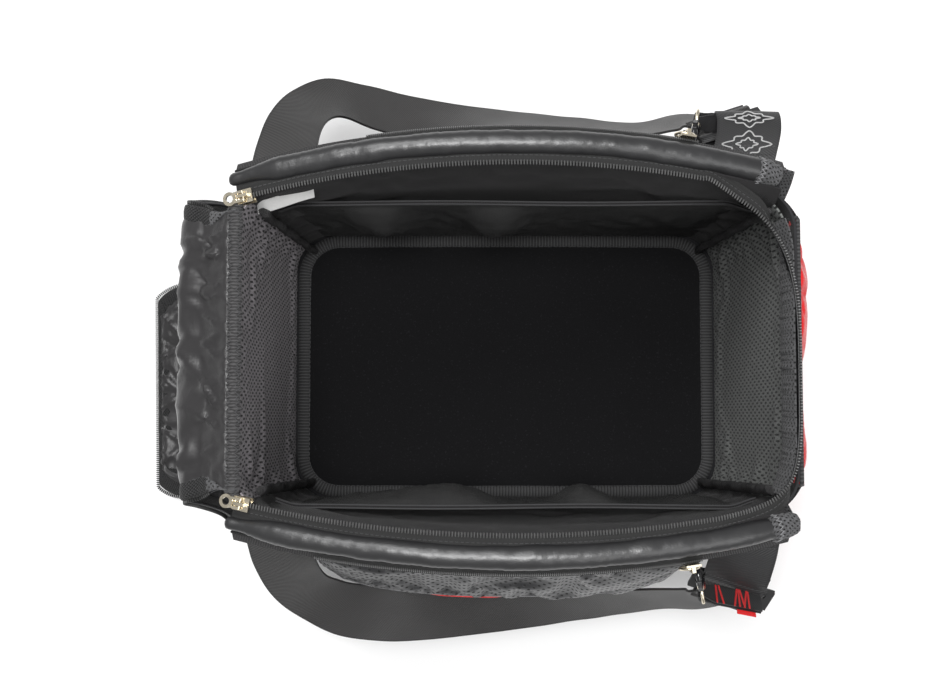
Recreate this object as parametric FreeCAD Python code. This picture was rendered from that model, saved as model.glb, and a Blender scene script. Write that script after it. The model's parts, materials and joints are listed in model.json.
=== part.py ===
"""Skate bag: a soft box bag with an arched rim, standing open.

Its zipped lid folds back over the left end and down to the floor. Each long side has a padded rim roll,
a zipped bellows pocket and a webbing strap with a slide buckle and a swivel snap hook. Inside are a lined
compartment with two mesh pockets and a bound floor pad on a stiff board.

Frame: +Z up, millimetres, origin at the centre of the underside. +X points to the end where the main zip
runs round the corners, and +Y to the back. The front pieces are mirrored in Y to make the back ones.
"""

import FreeCAD
import Part
import math
import os

V = FreeCAD.Vector

# Body of the bag: outside of the walls at the underside and at the reference height.
HALF_LENGTH = 190.0
BASE_HALF_WIDTH = 123.0
BASE_MID_HALF_WIDTH = 124.0
BASE_CORNER = 40.0
TOP_REFERENCE = 300.0
TOP_HALF_WIDTH = 110.0
TOP_MID_HALF_WIDTH = 133.0
TOP_CORNER = 30.0
END_HEIGHT = 250.0
MID_HEIGHT = 275.0
SEAM_X = 176.0

# Layers of the walls, as insets from the outside.
SKIN = (0.0, 2.0)
FOAM = (2.2, 5.0)
LINING = (5.2, 6.7)
LINING_FLOOR = 8.0
LINING_DROP = 4.0
LAYER_GAP = 0.2

# Rim: the main zip lies on an arc that rises and bows outwards.
ZIP_HALF_LENGTH = 187.0
ZIP_END = (99.0, 262.0)
ZIP_MID = (119.5, 286.0)
TEETH_RADIUS = 1.2
TAPE_THICKNESS = 0.8
ROLL_OFFSET = (14.0, -2.0)
ROLL_RADIUS = 7.0
ROLL_FROM, ROLL_TO = -186.0, 177.0
PATCH_FROM, PATCH_TO = 166.0, 183.0
POCKET_ZIP_OFFSET = (24.4, -7.8)
FRONT_POCKET_ZIP_FROM, BACK_POCKET_ZIP_FROM, POCKET_ZIP_TO = -128.0, -96.0, 118.0
END_CORNER = 30.0
MAIN_SLIDER_X = -178.0
POCKET_SLIDER_X = 111.0

# Lid: closed it continues the rim's arch. It is made closed, then opened over the left end.
LID_THICKNESS = 5.0
LID_LINING = 1.2
LID_EDGE_GAP = 5.6
LID_HINGE_HALF = 89.0
LID_ZIP_FROM = -158.0
LID_FOLDS_X = (-184.0, -134.0, 80.0, 183.0)
LID_CLOSE_DEG = (194.9, 79.5, -73.7)
LID_CUT_BACK = (1.0, 3.6, 4.4, 0.0)
# The two folds run askew across the lid, so that it hangs over towards the front.
LID_FOLD_SKEW_DEG = (0.0, -6.0, -10.0)

# Pockets.
POCKET_HEM_Z = 175.0
POCKET_WALL = 2.4
FRONT_POCKET_STATIONS = ((-136, 152), (-115, 163), (-80, 170), (-30, 173.5), (30, 173.5), (80, 170), (104, 164), (120, 153))
BACK_POCKET_STATIONS = ((-104, 137), (-80, 146), (-30, 150), (30, 150), (80, 146), (104, 140), (117, 132))
END_POCKET_STATIONS = ((-88, 197), (-62, 203), (0, 206), (62, 203), (88, 197))
MESH_POCKET_HALF = 148.0
MESH_POCKET_TOP = (107.0, 200.0)
MESH_POCKET_FOOT = (113.5, 20.0)

# Straps.
WEBBING = 45.0
WEBBING_THICKNESS = 1.8
STRAP_AXIS = (-128.5, 223.5)
RING_WIRE = 1.2
RING_RADIUS = 8.0

PARTS = {}


def keep(name, *shapes):
    """Stores a node as one shape, or as a group of separate solids."""
    PARTS[name] = shapes[0] if len(shapes) == 1 else Part.makeCompound(list(shapes))


def mirrored(shape):
    return shape.mirror(V(0, 0, 0), V(0, 1, 0))


def keep_pair(name, *shapes):
    """Stores the front piece and its mirror image at the back."""
    keep("front_" + name, *shapes)
    keep("back_" + name, *[mirrored(s) for s in shapes])


def box(x, y, z):
    """A box from three (low, high) pairs."""
    return Part.makeBox(x[1] - x[0], y[1] - y[0], z[1] - z[0], V(x[0], y[0], z[0]))


def polygon(points):
    return Part.makePolygon([V(*p) for p in points] + [V(*points[0])])


def ring_edges(half_length, end, mid, corner, z):
    """The eight edges of the plan outline in order."""
    flat = half_length - corner
    side = end - corner
    turn = corner * math.sin(math.radians(45))

    def corner_arc(sx, sy, outwards):
        ends = [V(sx * flat, sy * end, z), V(sx * half_length, sy * side, z)]
        if not outwards:
            ends.reverse()
        return Part.Arc(ends[0], V(sx * (flat + turn), sy * (side + turn), z), ends[1]).toShape()

    return [
        Part.Arc(V(-flat, -end, z), V(0, -mid, z), V(flat, -end, z)).toShape(),
        corner_arc(1, -1, True),
        Part.makeLine(V(half_length, -side, z), V(half_length, side, z)),
        corner_arc(1, 1, False),
        Part.Arc(V(flat, end, z), V(0, mid, z), V(-flat, end, z)).toShape(),
        corner_arc(-1, 1, True),
        Part.makeLine(V(-half_length, side, z), V(-half_length, -side, z)),
        corner_arc(-1, -1, False),
    ]


def bag_solid(inset):
    """The bag's outside shape, up to the reference height, made smaller by inset."""
    base = (HALF_LENGTH, BASE_HALF_WIDTH, BASE_MID_HALF_WIDTH, BASE_CORNER)
    top = (HALF_LENGTH, TOP_HALF_WIDTH, TOP_MID_HALF_WIDTH, TOP_CORNER)
    wires = [
        Part.Wire(ring_edges(*[d - inset for d in base], 0)),
        Part.Wire(ring_edges(*[d - inset for d in top], TOP_REFERENCE)),
    ]
    return Part.makeLoft(wires, True, True)


def arch(half, end, mid):
    """(centre height, radius) of the circle through (-half, end), (0, mid) and (half, end)."""
    rise = mid - end
    radius = (half * half + rise * rise) / (2 * rise)
    return mid - radius, radius


def under_arch(drop):
    """Everything below the walls' arched top edge, lowered by drop."""
    centre, radius = arch(HALF_LENGTH, END_HEIGHT, MID_HEIGHT)
    disc = Part.makeCylinder(radius - drop, 600, V(0, -300, centre), V(0, 1, 0))
    return disc.common(box((-260, 260), (-300, 300), (0, TOP_REFERENCE)))


def wall_panels(layer, floor, drop):
    """One layer of the walls, cut at the corner seams into front, back, left and right."""
    ring = bag_solid(layer[0]).cut(bag_solid(layer[1]))
    ring = ring.common(under_arch(drop)).common(box((-260, 260), (-200, 200), (floor, TOP_REFERENCE)))
    half = LAYER_GAP / 2
    regions = {
        "front": box((-SEAM_X + half, SEAM_X - half), (-200, 0), (-1, 400)),
        "back": box((-SEAM_X + half, SEAM_X - half), (0, 200), (-1, 400)),
        "left": box((-260, -SEAM_X - half), (-200, 200), (-1, 400)),
        "right": box((SEAM_X + half, 260), (-200, 200), (-1, 400)),
    }
    return {name: ring.common(region) for name, region in regions.items()}


def rim_frame():
    """(centre, axis, radius) of the front zip's arc, which every rim piece turns about."""
    rise = V(0, -(ZIP_MID[0] - ZIP_END[0]), ZIP_MID[1] - ZIP_END[1])
    radius = (ZIP_HALF_LENGTH**2 + rise.Length**2) / (2 * rise.Length)
    up = rise.normalize()
    centre = V(0, -ZIP_MID[0], ZIP_MID[1]) - up * radius
    return centre, V(0, up.z, -up.y), radius


def rim_angle(x, extra=0.0):
    """Turn about the rim axis, in degrees, that carries a piece from the middle to about x."""
    return math.degrees(math.asin(x / (rim_frame()[2] + extra)))


def turned(shape, point, axis, degrees):
    out = shape.copy()
    out.rotate(point, axis, degrees)
    return out


def rim_sweep(wires, x_from, x_to):
    """Carries a section drawn at x 0 along the rim, from x_from to x_to."""
    centre, axis, _ = rim_frame()
    face = Part.Face(wires)
    low, high = -rim_angle(x_from), -rim_angle(x_to)
    face.rotate(centre, axis, -low if turn_sign() > 0 else low)
    return face.revolve(centre, axis, (low - high) * turn_sign())


def turn_sign():
    """1 if a positive turn about the rim axis carries the middle of the front rim towards +X."""
    centre, axis, radius = rim_frame()
    mid = V(0, -ZIP_MID[0], ZIP_MID[1]) - centre
    return 1 if axis.cross(mid).x > 0 else -1


def at_rim(shape, x):
    """Moves a piece drawn at x 0 along the rim to x."""
    centre, axis, _ = rim_frame()
    return turned(shape, centre, axis, turn_sign() * rim_angle(x))


def circle_at(y, z, radius):
    return Part.Wire(Part.makeCircle(radius, V(0, y, z), V(1, 0, 0)))


def make_base():
    """Bottom panel, stiff board, floor pad and the pad's bound edge."""
    under = bag_solid(SKIN[1] + LAYER_GAP)
    keep("bottom_panel", under.common(box((-200, 200), (-130, 130), (0, 2.4))))
    keep("base_board", bag_solid(LINING[0]).common(box((-200, 200), (-130, 130), (2.6, 6.4))))
    pad = (HALF_LENGTH - 9.0, BASE_HALF_WIDTH - 8.5, BASE_HALF_WIDTH - 7.9, BASE_CORNER - 4.0)
    band = 11.0
    core = tuple(d - band for d in pad)
    slab = Part.Face(Part.Wire(ring_edges(*pad, 8.2))).extrude(V(0, 0, 4.6))
    middle = Part.Face(Part.Wire(ring_edges(*core, 8.6))).extrude(V(0, 0, 3.8))
    hole = Part.Face(Part.Wire(ring_edges(*[d + 0.1 for d in core], 8.0))).extrude(V(0, 0, 6.0))
    keep("floor_pad", middle)
    keep("floor_pad_binding", slab.cut(hole))


def make_walls():
    skins = wall_panels(SKIN, 0.0, 0.0)
    linings = wall_panels(LINING, LINING_FLOOR, LINING_DROP)
    for side in ("front", "back", "left", "right"):
        keep(side + "_wall", skins[side])
        keep(side + "_lining", linings[side])
    foam = bag_solid(FOAM[0]).cut(bag_solid(FOAM[1])).common(under_arch(LINING_DROP))
    keep("wall_foam", foam.common(box((-260, 260), (-200, 200), (LINING_FLOOR, TOP_REFERENCE))))
    foot = (174.0, 106.0, 16.0)
    head = (176.0, 98.5, 244.0)
    strips = []
    for sx in (-1, 1):
        for sy in (-1, 1):
            ends = []
            for x, y, z in (foot, head):
                points = ((x - 8.5, y - 2.2), (x - 2.2, y - 8.5), (x - 3.6, y - 9.6), (x - 9.6, y - 3.6))
                ends.append(polygon([(sx * a, sy * b, z) for a, b in points]))
            strips.append(Part.makeLoft(ends, True, True))
    keep("corner_bindings", *strips)
    label = box((-20, 20), (-0.3, 0.3), (-5.5, 5.5))
    label.rotate(V(0, 0, 0), V(0, 0, 1), 12.0)
    label.translate(V(-148, 106.0, 237))
    keep("label", label)


def make_rim():
    """Padded rolls, corner patches, and the body's half of the main zip."""
    y, z = -ZIP_MID[0], ZIP_MID[1]
    roll_y, roll_z = y - ROLL_OFFSET[0], z + ROLL_OFFSET[1]
    keep_pair("rim_roll", rim_sweep([circle_at(roll_y, roll_z, ROLL_RADIUS)], ROLL_FROM, ROLL_TO))
    patch = rim_sweep([circle_at(roll_y, roll_z, ROLL_RADIUS + 1.7)], PATCH_FROM, PATCH_TO)
    patch = patch.cut(rim_sweep([circle_at(roll_y, roll_z, ROLL_RADIUS + 0.3)], PATCH_FROM - 2, PATCH_TO - 1.4))
    keep("rim_corner_patches", patch, mirrored(patch))
    half = TAPE_THICKNESS / 2
    tape = polygon([(0, y - 1.35, z - half), (0, y - 5.1, z - half), (0, y - 5.1, z + half), (0, y - 1.35, z + half)])
    tape = rim_sweep([tape], -184.0, 172.0)
    teeth = rim_sweep([circle_at(y, z, TEETH_RADIUS)], -184.0, 172.0)
    end_z = ZIP_END[1] - 1.0
    side = (ZIP_HALF_LENGTH, 98.0, 99.0, END_CORNER)

    def end_band(inner, outer, low, high):
        rings = [Part.Face(Part.Wire(ring_edges(*[d + o for d in side], low))).extrude(V(0, 0, high - low))
                 for o in (outer, inner)]
        return rings[0].cut(rings[1]).common(box((173.5, 200), (-150, 150), (0, 400)))

    keep("main_zip_tape", tape, mirrored(tape), end_band(-0.4, 0.4, end_z - 10.5, end_z - 1.3))
    keep("main_zip_teeth", teeth, mirrored(teeth), end_band(-1.2, 1.2, end_z - 1.2, end_z + 1.2))


def make_lid():
    """Three panels joined by soft folds, each with shell, lining and zip edge."""
    rise = ZIP_MID[1] - ZIP_END[1]
    radius = (ZIP_HALF_LENGTH**2 + rise**2) / (2 * rise)
    centre = V(0, -200, ZIP_MID[1] - radius)

    def arched(low, high):
        """The closed lid's arched layer between two heights above its middle surface."""
        rings = [Part.makeCylinder(radius + h, 400, centre, V(0, 1, 0)) for h in (high, low)]
        return rings[0].cut(rings[1])

    def plan(inset):
        ring = (ZIP_HALF_LENGTH, ZIP_END[0], ZIP_MID[0], END_CORNER)
        return Part.Face(Part.Wire(ring_edges(*[d - inset for d in ring], 200))).extrude(V(0, 0, 120))

    folds = lid_fold_points()
    half = LID_THICKNESS / 2
    hinge_end = box((LID_FOLDS_X[0], -140), (-LID_HINGE_HALF, LID_HINGE_HALF), (200, 320))
    panel = plan(LID_EDGE_GAP).fuse(hinge_end)
    edge = plan(LID_EDGE_GAP - 2.4).cut(plan(LID_EDGE_GAP - 0.2)).common(box((LID_ZIP_FROM, 200), (-200, 200), (0, 400)))
    layers = {
        "lid_shell": panel.common(arched(-half + LID_LINING + 0.1, half)),
        "lid_lining": panel.common(arched(-half, -half + LID_LINING)),
        "lid_zip": edge.common(arched(-1.1, 1.1)),
    }
    for i, letter in enumerate("abc"):
        span = beyond_fold(i, LID_CUT_BACK[i])
        if i < 2:
            span = span.cut(beyond_fold(i + 1, -LID_CUT_BACK[i + 1]))
        for name, layer in layers.items():
            keep(f"{name}_{letter}", opened(layer.common(span), i))


def beyond_fold(index, cut_back):
    """The space on the far side of a fold line of the closed lid, from cut_back past it."""
    side = box((cut_back, 500), (-300, 300), (-300, 300))
    side.rotate(V(0, 0, 0), V(0, 0, 1), -LID_FOLD_SKEW_DEG[index])
    side.translate(lid_fold_points()[index])
    return side


def lid_fold_points():
    """The fold lines of the closed lid, on its middle surface, at y 0."""
    rise = ZIP_MID[1] - ZIP_END[1]
    radius = (ZIP_HALF_LENGTH**2 + rise**2) / (2 * rise)
    return [V(x, 0, ZIP_MID[1] - radius + math.sqrt(radius**2 - x**2)) for x in LID_FOLDS_X]


def opened(shape, index):
    """Turns a piece of the closed lid's panel number index to where it hangs when the lid is open."""
    folds = lid_fold_points()
    out = shape.copy()
    for i in range(index, -1, -1):
        skew = math.radians(LID_FOLD_SKEW_DEG[i])
        out.rotate(folds[i], V(math.sin(skew), math.cos(skew), 0), -LID_CLOSE_DEG[i])
    return out


def make_sliders():
    """Zip sliders with their pullers: two on the main zip, one on each bellows pocket."""
    y, z = -ZIP_MID[0], ZIP_MID[1]
    top = box((-5.5, 5.5), (y - 4.6, y + 4.4), (z + 2.0, z + 3.4))
    under = box((-5.5, 5.5), (y - 4.6, y + 4.4), (z - 3.4, z - 2.0))
    post = box((1.5, 5.0), (y + 1.6, y + 2.8), (z - 2.1, z + 2.1))
    body = top.fuse([under, post, bail(0, y, z + 3.4)]).removeSplitter()
    keep_pair("main_slider", at_rim(body, MAIN_SLIDER_X))
    keep_pair("main_puller", at_rim(puller(0, y, z + 5.5, -1), MAIN_SLIDER_X))
    y, z = y - POCKET_ZIP_OFFSET[0] - 2.9, z + POCKET_ZIP_OFFSET[1] + 1.0
    plate = box((-5.0, 5.0), (y - 1.4, y), (z - 4.0, z + 4.0))
    staple = box((-1.2, 1.2), (y - 5.2, y - 1.3), (z - 3.0, z + 3.0)).cut(
        box((-2.0, 2.0), (y - 4.1, y - 1.4), (z - 1.8, z + 1.8)))
    keep_pair("pocket_slider", at_rim(plate.fuse(staple).removeSplitter(), POCKET_SLIDER_X))
    ring = Part.makeTorus(6.2, 1.0, V(0, y - 2.75, z - 6.2), V(0, 1, 0))
    keep_pair("pocket_puller", at_rim(ring, POCKET_SLIDER_X))


def bail(x, y, z):
    """The arch on top of a slider that the puller hangs in."""
    outer = box((x - 3.5, x + 3.5), (y - 1.0, y + 1.0), (z - 0.1, z + 4.2))
    return outer.cut(box((x - 2.2, x + 2.2), (y - 1.5, y + 1.5), (z - 0.1, z + 3.0)))


def puller(x, y, z, way):
    """A small flat ring with a cross pin through the bail; way is the direction that it points in along X."""
    pin = Part.makeCylinder(0.8, 7.2, V(x, y - 3.6, z), V(0, 1, 0))
    arms = [box(sorted_pair(x, x + way * 6.5), (y + s - 0.8, y + s + 0.8), (z - 0.8, z + 0.8)) for s in (-2.9, 2.9)]
    ring = Part.makeCylinder(4.6, 1.6, V(x + way * 9.6, y, z - 0.8), V(0, 0, 1))
    eye = Part.makeCylinder(2.5, 4.0, V(x + way * 9.6, y, z - 2.0), V(0, 0, 1))
    return pin.fuse([*arms, ring]).cut(eye).removeSplitter()


def sorted_pair(a, b):
    return (min(a, b), max(a, b))


def bellows(stations, depth, rows):
    """A closed loft through upright sections; rows(station, depth) gives each section's points."""
    return Part.makeLoft([polygon(rows(s, depth)) for s in stations], True, False)


def pocket_rows(station, depth):
    """Section of the front bellows pocket at one x; depth is how far inside the skin it is drawn."""
    x, hem = station
    x = x + (depth if x < 0 else -depth) * (abs(x) > 120)
    top_z = 271.0 - 12.0 * (x / 133.0) ** 2 - depth
    top_y = -(144.5 - 15.0 * (x / 133.0) ** 2 - depth)
    back = -100.0
    return [(x, top_y, top_z), (x, -hem + depth, POCKET_HEM_Z), (x, -hem + 14 + depth, 62.0),
            (x, -117.0, 34.0 + depth), (x, back, 34.0 + depth), (x, back, top_z)]


def end_pocket_rows(station, depth):
    """Section of the end pocket at one y."""
    y, out = station
    y = y + (depth if y < 0 else -depth) * (abs(y) > 80)
    back = 170.0
    return [(192.5 - depth, y, 240.0 - depth), (out - depth, y, 150.0), (out - 6 - depth, y, 55.0),
            (184.0, y, 30.0 + depth), (back, y, 30.0 + depth), (back, y, 240.0 - depth)]


def make_pockets():
    around = bag_solid(-0.3)
    for name, stations in (("front_pocket", FRONT_POCKET_STATIONS), ("back_pocket", BACK_POCKET_STATIONS)):
        shell = bellows(stations, 0.0, pocket_rows).cut(bellows(stations, POCKET_WALL, pocket_rows)).cut(around)
        keep(name, mirrored(shell) if name == "back_pocket" else shell)
    shell = bellows(END_POCKET_STATIONS, 0.0, end_pocket_rows)
    shell = shell.cut(bellows(END_POCKET_STATIONS, POCKET_WALL, end_pocket_rows))
    keep("end_pocket", shell.cut(around))
    y = -ZIP_MID[0] - POCKET_ZIP_OFFSET[0]
    z = ZIP_MID[1] + POCKET_ZIP_OFFSET[1]
    tape = polygon([(0, y + 2.1, z + 3.8), (0, y + 1.4, z + 3.4), (0, y - 2.6, z - 3.4), (0, y - 1.9, z - 3.8)])
    coil = circle_at(y - 1.5, z + 1.0, 1.0)
    keep("front_pocket_zip", *[rim_sweep([w], FRONT_POCKET_ZIP_FROM, POCKET_ZIP_TO) for w in (tape, coil)])
    keep("back_pocket_zip", *[mirrored(rim_sweep([w], BACK_POCKET_ZIP_FROM, POCKET_ZIP_TO)) for w in (tape, coil)])
    top_y, top_z = MESH_POCKET_TOP
    foot_y, foot_z = MESH_POCKET_FOOT
    section = polygon([(-MESH_POCKET_HALF, -top_y, top_z), (-MESH_POCKET_HALF, -foot_y, foot_z),
                       (-MESH_POCKET_HALF, -foot_y - 1.2, foot_z), (-MESH_POCKET_HALF, -top_y - 1.2, top_z)])
    keep_pair("mesh_pocket", Part.Face(section).extrude(V(2 * MESH_POCKET_HALF, 0, 0)))
    hem = box((-MESH_POCKET_HALF, MESH_POCKET_HALF), (-top_y - 1.6, -top_y + 0.4), (top_z + 0.1, top_z + 8.0))
    keep("mesh_pocket_elastics", hem, mirrored(hem))


def ribbon(stations, width, thickness):
    """Flat webbing through stations (x, y, z, plan angle and fall of its width direction, in degrees)."""
    centres = [V(*s[:3]) for s in stations]
    sections = []
    for i, (x, y, z, plan, fall) in enumerate(stations):
        plan, fall = math.radians(plan), math.radians(fall)
        across = V(math.cos(plan) * math.cos(fall), math.sin(plan) * math.cos(fall), -math.sin(fall))
        along = centres[min(i + 1, len(centres) - 1)] - centres[max(i - 1, 0)]
        normal = along.cross(across).normalize()
        a, n = across * (width / 2), normal * (thickness / 2)
        sections.append(polygon([tuple(centres[i] + s * a + t * n) for s, t in ((-1, -1), (1, -1), (1, 1), (-1, 1))]))
    return Part.makeLoft(sections, True, True)


STRAP_END = ((139, -179, 157, 322, 52), (150, -175, 166, 342, 34), (155, -172, 175, 348, 14), (156, -170, 181, 348, 4))
STRAP_STATIONS = (
    (-161, -129.9, 222.2, 181, 2), (-160, -146, 205, 188, 10), (-154, -165, 182, 203, 18),
    (-141, -178.5, 160, 222, 20), (-120, -189.5, 143, 244, 14), (-92, -194, 131, 258, 12), (-55, -195, 124, 266, 22),
    (0, -192, 122, 270, 36), (55, -188, 127, 273, 52), (98, -182, 144, 275, 60), (124, -179.5, 153, 281, 64),
    *STRAP_END,
)
# The back strap, drawn at the front like the rest, hangs closer in along the bag.
BACK_STRAP_STATIONS = (
    (-161, -129.9, 222.2, 181, 2), (-161, -150, 204, 188, 10), (-158, -172, 186, 200, 18),
    (-149, -189, 168, 217, 24), (-132, -197.5, 154, 240, 24), (-108, -194, 143, 255, 25), (-82, -189, 138, 262, 31),
    (-48, -186.5, 138, 268, 45), (0, -184, 140, 270, 58), (50, -179.5, 142, 272, 61), (95, -175.5, 146, 276, 64),
    (124, -179, 152, 283, 62), *STRAP_END,
)
TAB_STATIONS = (
    (160, -130.2, 222.8, 0, 0), (159, -139, 218.5, -6, 0), (157.5, -149, 212, -14, 0), (156.5, -156, 206, -18, 0),
    (156.2, -159.5, 200, -18, 0),
)
BACK_TAB_STATIONS = (
    (160, -130.2, 222.8, 0, 0), (162, -139, 222, 0, 0), (164.5, -148, 220.5, 0, 0), (166.5, -156, 218, 0, 0),
    (167.5, -163, 214.8, 0, 0), (168, -168.5, 211, 0, 0), (168, -172.5, 206.5, 0, 0),
)
ANCHOR_STATIONS = ((160, -116.5, 235.5, 0, 0), (160, -121, 231.5, 0, 0), (160, -126.9, 224.8, 0, 0))
RING_AT = (133.0, -167.5, 204.0)
STRIP_ALONG = (0.957, -0.2015, -0.151)
HOOK_ALONG = (-0.25, 0.65, 0.72)


def make_straps():
    """The front strap with its tab, slide buckle, stitched end strip, ring and snap hook."""
    keep("front_strap", ribbon(STRAP_STATIONS, WEBBING, WEBBING_THICKNESS).cut(slide_buckle()))
    keep("back_strap", mirrored(ribbon(BACK_STRAP_STATIONS, WEBBING, WEBBING_THICKNESS).cut(slide_buckle())))
    keep("front_strap_tab", ribbon(TAB_STATIONS, WEBBING, WEBBING_THICKNESS))
    keep("back_strap_tab", mirrored(ribbon(BACK_TAB_STATIONS, WEBBING, WEBBING_THICKNESS)))
    stub = ribbon(ANCHOR_STATIONS, WEBBING, WEBBING_THICKNESS)
    sewn = box((137.5, 182.5), (-117.6, -104.0), (234.0, 248.0))
    anchor = stub.fuse(sewn).cut(bag_solid(-LAYER_GAP)).removeSplitter()
    anchors = [anchor, anchor.mirror(V(0, 0, 0), V(1, 0, 0))]
    keep("strap_anchors", *anchors, *[mirrored(a) for a in anchors])
    along, across, up = strip_frame()
    strip = box((4.2, 44.0), (-7.0, 7.0), (-1.6, 1.6))
    loop = Part.makeCylinder(RING_WIRE + 2.4, 11.0, V(0, -5.5, 0), V(0, 1, 0))
    strip = strip.common(box((4.2, 44.0), (-7.0, 7.0), (-1.6, 1.6))).fuse(box((2.0, 5.0), (-5.5, 5.5), (-1.6, 1.6)))
    strip = strip.fuse(loop).cut(Part.makeCylinder(RING_WIRE + 0.25, 20.0, V(0, -10, 0), V(0, 1, 0)))
    keep_pair("strap_end_strip", placed(strip, along, across, up))
    keep_pair("slide_buckle", slide_buckle())
    ring, hook, gate = snap_hook()
    along, across, up = hook_frame()
    keep_pair("swivel_ring", placed(ring, along, across, up))
    keep_pair("snap_hook", placed(hook, along, across, up))
    keep_pair("hook_gate", placed(gate, along, across, up))


def strip_frame():
    """Axes of the end strip: along it, across it (the ring's bar), and out of its face."""
    along = V(*STRIP_ALONG).normalize()
    across = along.cross(V(*HOOK_ALONG)).normalize()
    return along, across, along.cross(across).normalize()


def hook_frame():
    """Axes of the hook: its bar, its face and its length."""
    length = V(*HOOK_ALONG).normalize()
    bar = strip_frame()[1]
    return bar, length.cross(bar).normalize(), length


def placed(shape, x_axis, y_axis, z_axis):
    """Puts a shape drawn about the origin at the ring, with its axes along the three given ones."""
    m = FreeCAD.Matrix(x_axis.x, y_axis.x, z_axis.x, RING_AT[0], x_axis.y, y_axis.y, z_axis.y, RING_AT[1],
                       x_axis.z, y_axis.z, z_axis.z, RING_AT[2], 0, 0, 0, 1)
    out = shape.copy()
    out.transformShape(m, True)
    return out


def snap_hook():
    """(ring, hook, gate) of a swivel snap hook, its bar along X and its length along Z."""
    arc = Part.makeTorus(RING_RADIUS, RING_WIRE, V(0, 0, 0), V(0, 1, 0)).common(box((-12, 12), (-3, 3), (0, 12)))
    bar = Part.makeCylinder(RING_WIRE, 2 * RING_RADIUS, V(-RING_RADIUS, 0, 0), V(1, 0, 0))
    ends = [Part.makeSphere(RING_WIRE, V(s * RING_RADIUS, 0, 0)) for s in (-1, 1)]
    boss = Part.makeCylinder(3.0, 4.4, V(0, 0, 7.2), V(0, 0, 1))
    ring = arc.fuse([bar, *ends, boss]).cut(Part.makeCylinder(1.5, 8.0, V(0, 0, 4.5), V(0, 0, 1))).removeSplitter()
    post = Part.makeCylinder(1.42, 7.2, V(0, 0, 5.5), V(0, 0, 1))
    head = Part.makeCylinder(2.3, 1.1, V(0, 0, 5.0), V(0, 0, 1))
    collar = Part.makeCylinder(3.2, 4.0, V(0, 0, 11.8), V(0, 0, 1))
    bend = Part.makeTorus(6.6, 2.0, V(0, 0, 22.2), V(0, 1, 0))
    mouth = box((1.2, 12.0), (-4, 4), (17.3, 25.6))
    knuckle = box((2.6, 8.2), (-1.6, 1.6), (14.4, 17.2))
    hook = post.fuse([head, collar, bend.cut(mouth), knuckle]).removeSplitter()
    gate = box((5.4, 7.6), (-1.5, 1.5), (18.1, 25.2))
    thumb = box((7.4, 9.4), (-1.5, 1.5), (19.0, 21.0))
    gate = gate.fuse(thumb).removeSplitter()
    return ring, hook, gate


def slide_buckle():
    """Flat plastic frame with a centre bar, at the outer end of the tab."""
    frame = box((-29.0, 29.0), (-9.5, 9.5), (-1.7, 1.7))
    for s in (-1, 1):
        frame = frame.cut(box((-24.0, 24.0), sorted_pair(s * 1.8, s * 6.6), (-2, 2)))
    frame.rotate(V(0, 0, 0), V(1, 0, 0), 42.0)
    frame.rotate(V(0, 0, 0), V(0, 0, 1), -18.0)
    frame.translate(V(156.0, -166.5, 189.5))
    return frame


def export_all():
    os.makedirs("parts", exist_ok=True)
    for name, shape in PARTS.items():
        if not shape.isValid():
            print("not valid:", name)
        print(f"{name}: {len(shape.Solids)} solids, {shape.Volume / 1000:.2f} cm3")
        shape.exportStep(f"parts/{name}.step")


def main():
    for make in (make_base, make_walls, make_rim, make_lid, make_sliders, make_pockets, make_straps):
        make()
    export_all()


if __name__ == "__main__":
    main()
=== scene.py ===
"""Skate bag standing open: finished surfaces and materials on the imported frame.

Shapes are worked out in millimetres, +Z up, in the frame's own axes, and written as meshes in metres.
The front is at -Y; side is -1 for the front and +1 for the back.
"""
import json
import math

import bpy
import numpy as np
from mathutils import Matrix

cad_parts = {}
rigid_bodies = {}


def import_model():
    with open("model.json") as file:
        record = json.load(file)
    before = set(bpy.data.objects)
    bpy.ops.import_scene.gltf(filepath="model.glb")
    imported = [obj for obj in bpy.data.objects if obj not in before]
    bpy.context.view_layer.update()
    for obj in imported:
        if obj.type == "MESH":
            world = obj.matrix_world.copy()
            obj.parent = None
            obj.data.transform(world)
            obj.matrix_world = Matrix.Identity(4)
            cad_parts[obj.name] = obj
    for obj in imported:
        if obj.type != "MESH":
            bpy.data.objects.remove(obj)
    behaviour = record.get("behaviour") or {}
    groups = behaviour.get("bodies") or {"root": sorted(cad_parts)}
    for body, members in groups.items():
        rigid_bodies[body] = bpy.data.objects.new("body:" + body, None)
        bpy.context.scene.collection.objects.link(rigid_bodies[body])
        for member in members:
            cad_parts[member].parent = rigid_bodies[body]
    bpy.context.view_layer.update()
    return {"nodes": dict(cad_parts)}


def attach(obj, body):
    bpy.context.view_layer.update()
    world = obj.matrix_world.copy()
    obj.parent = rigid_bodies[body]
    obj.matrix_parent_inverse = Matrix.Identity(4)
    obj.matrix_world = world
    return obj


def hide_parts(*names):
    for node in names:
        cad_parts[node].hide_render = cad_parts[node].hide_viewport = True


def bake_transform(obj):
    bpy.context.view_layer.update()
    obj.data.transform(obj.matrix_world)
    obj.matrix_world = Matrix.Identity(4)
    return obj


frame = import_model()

scene = bpy.context.scene
MM = 0.001
SHARP_EDGE = math.radians(50)


# ---------------------------------------------------------------- shaders

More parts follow.
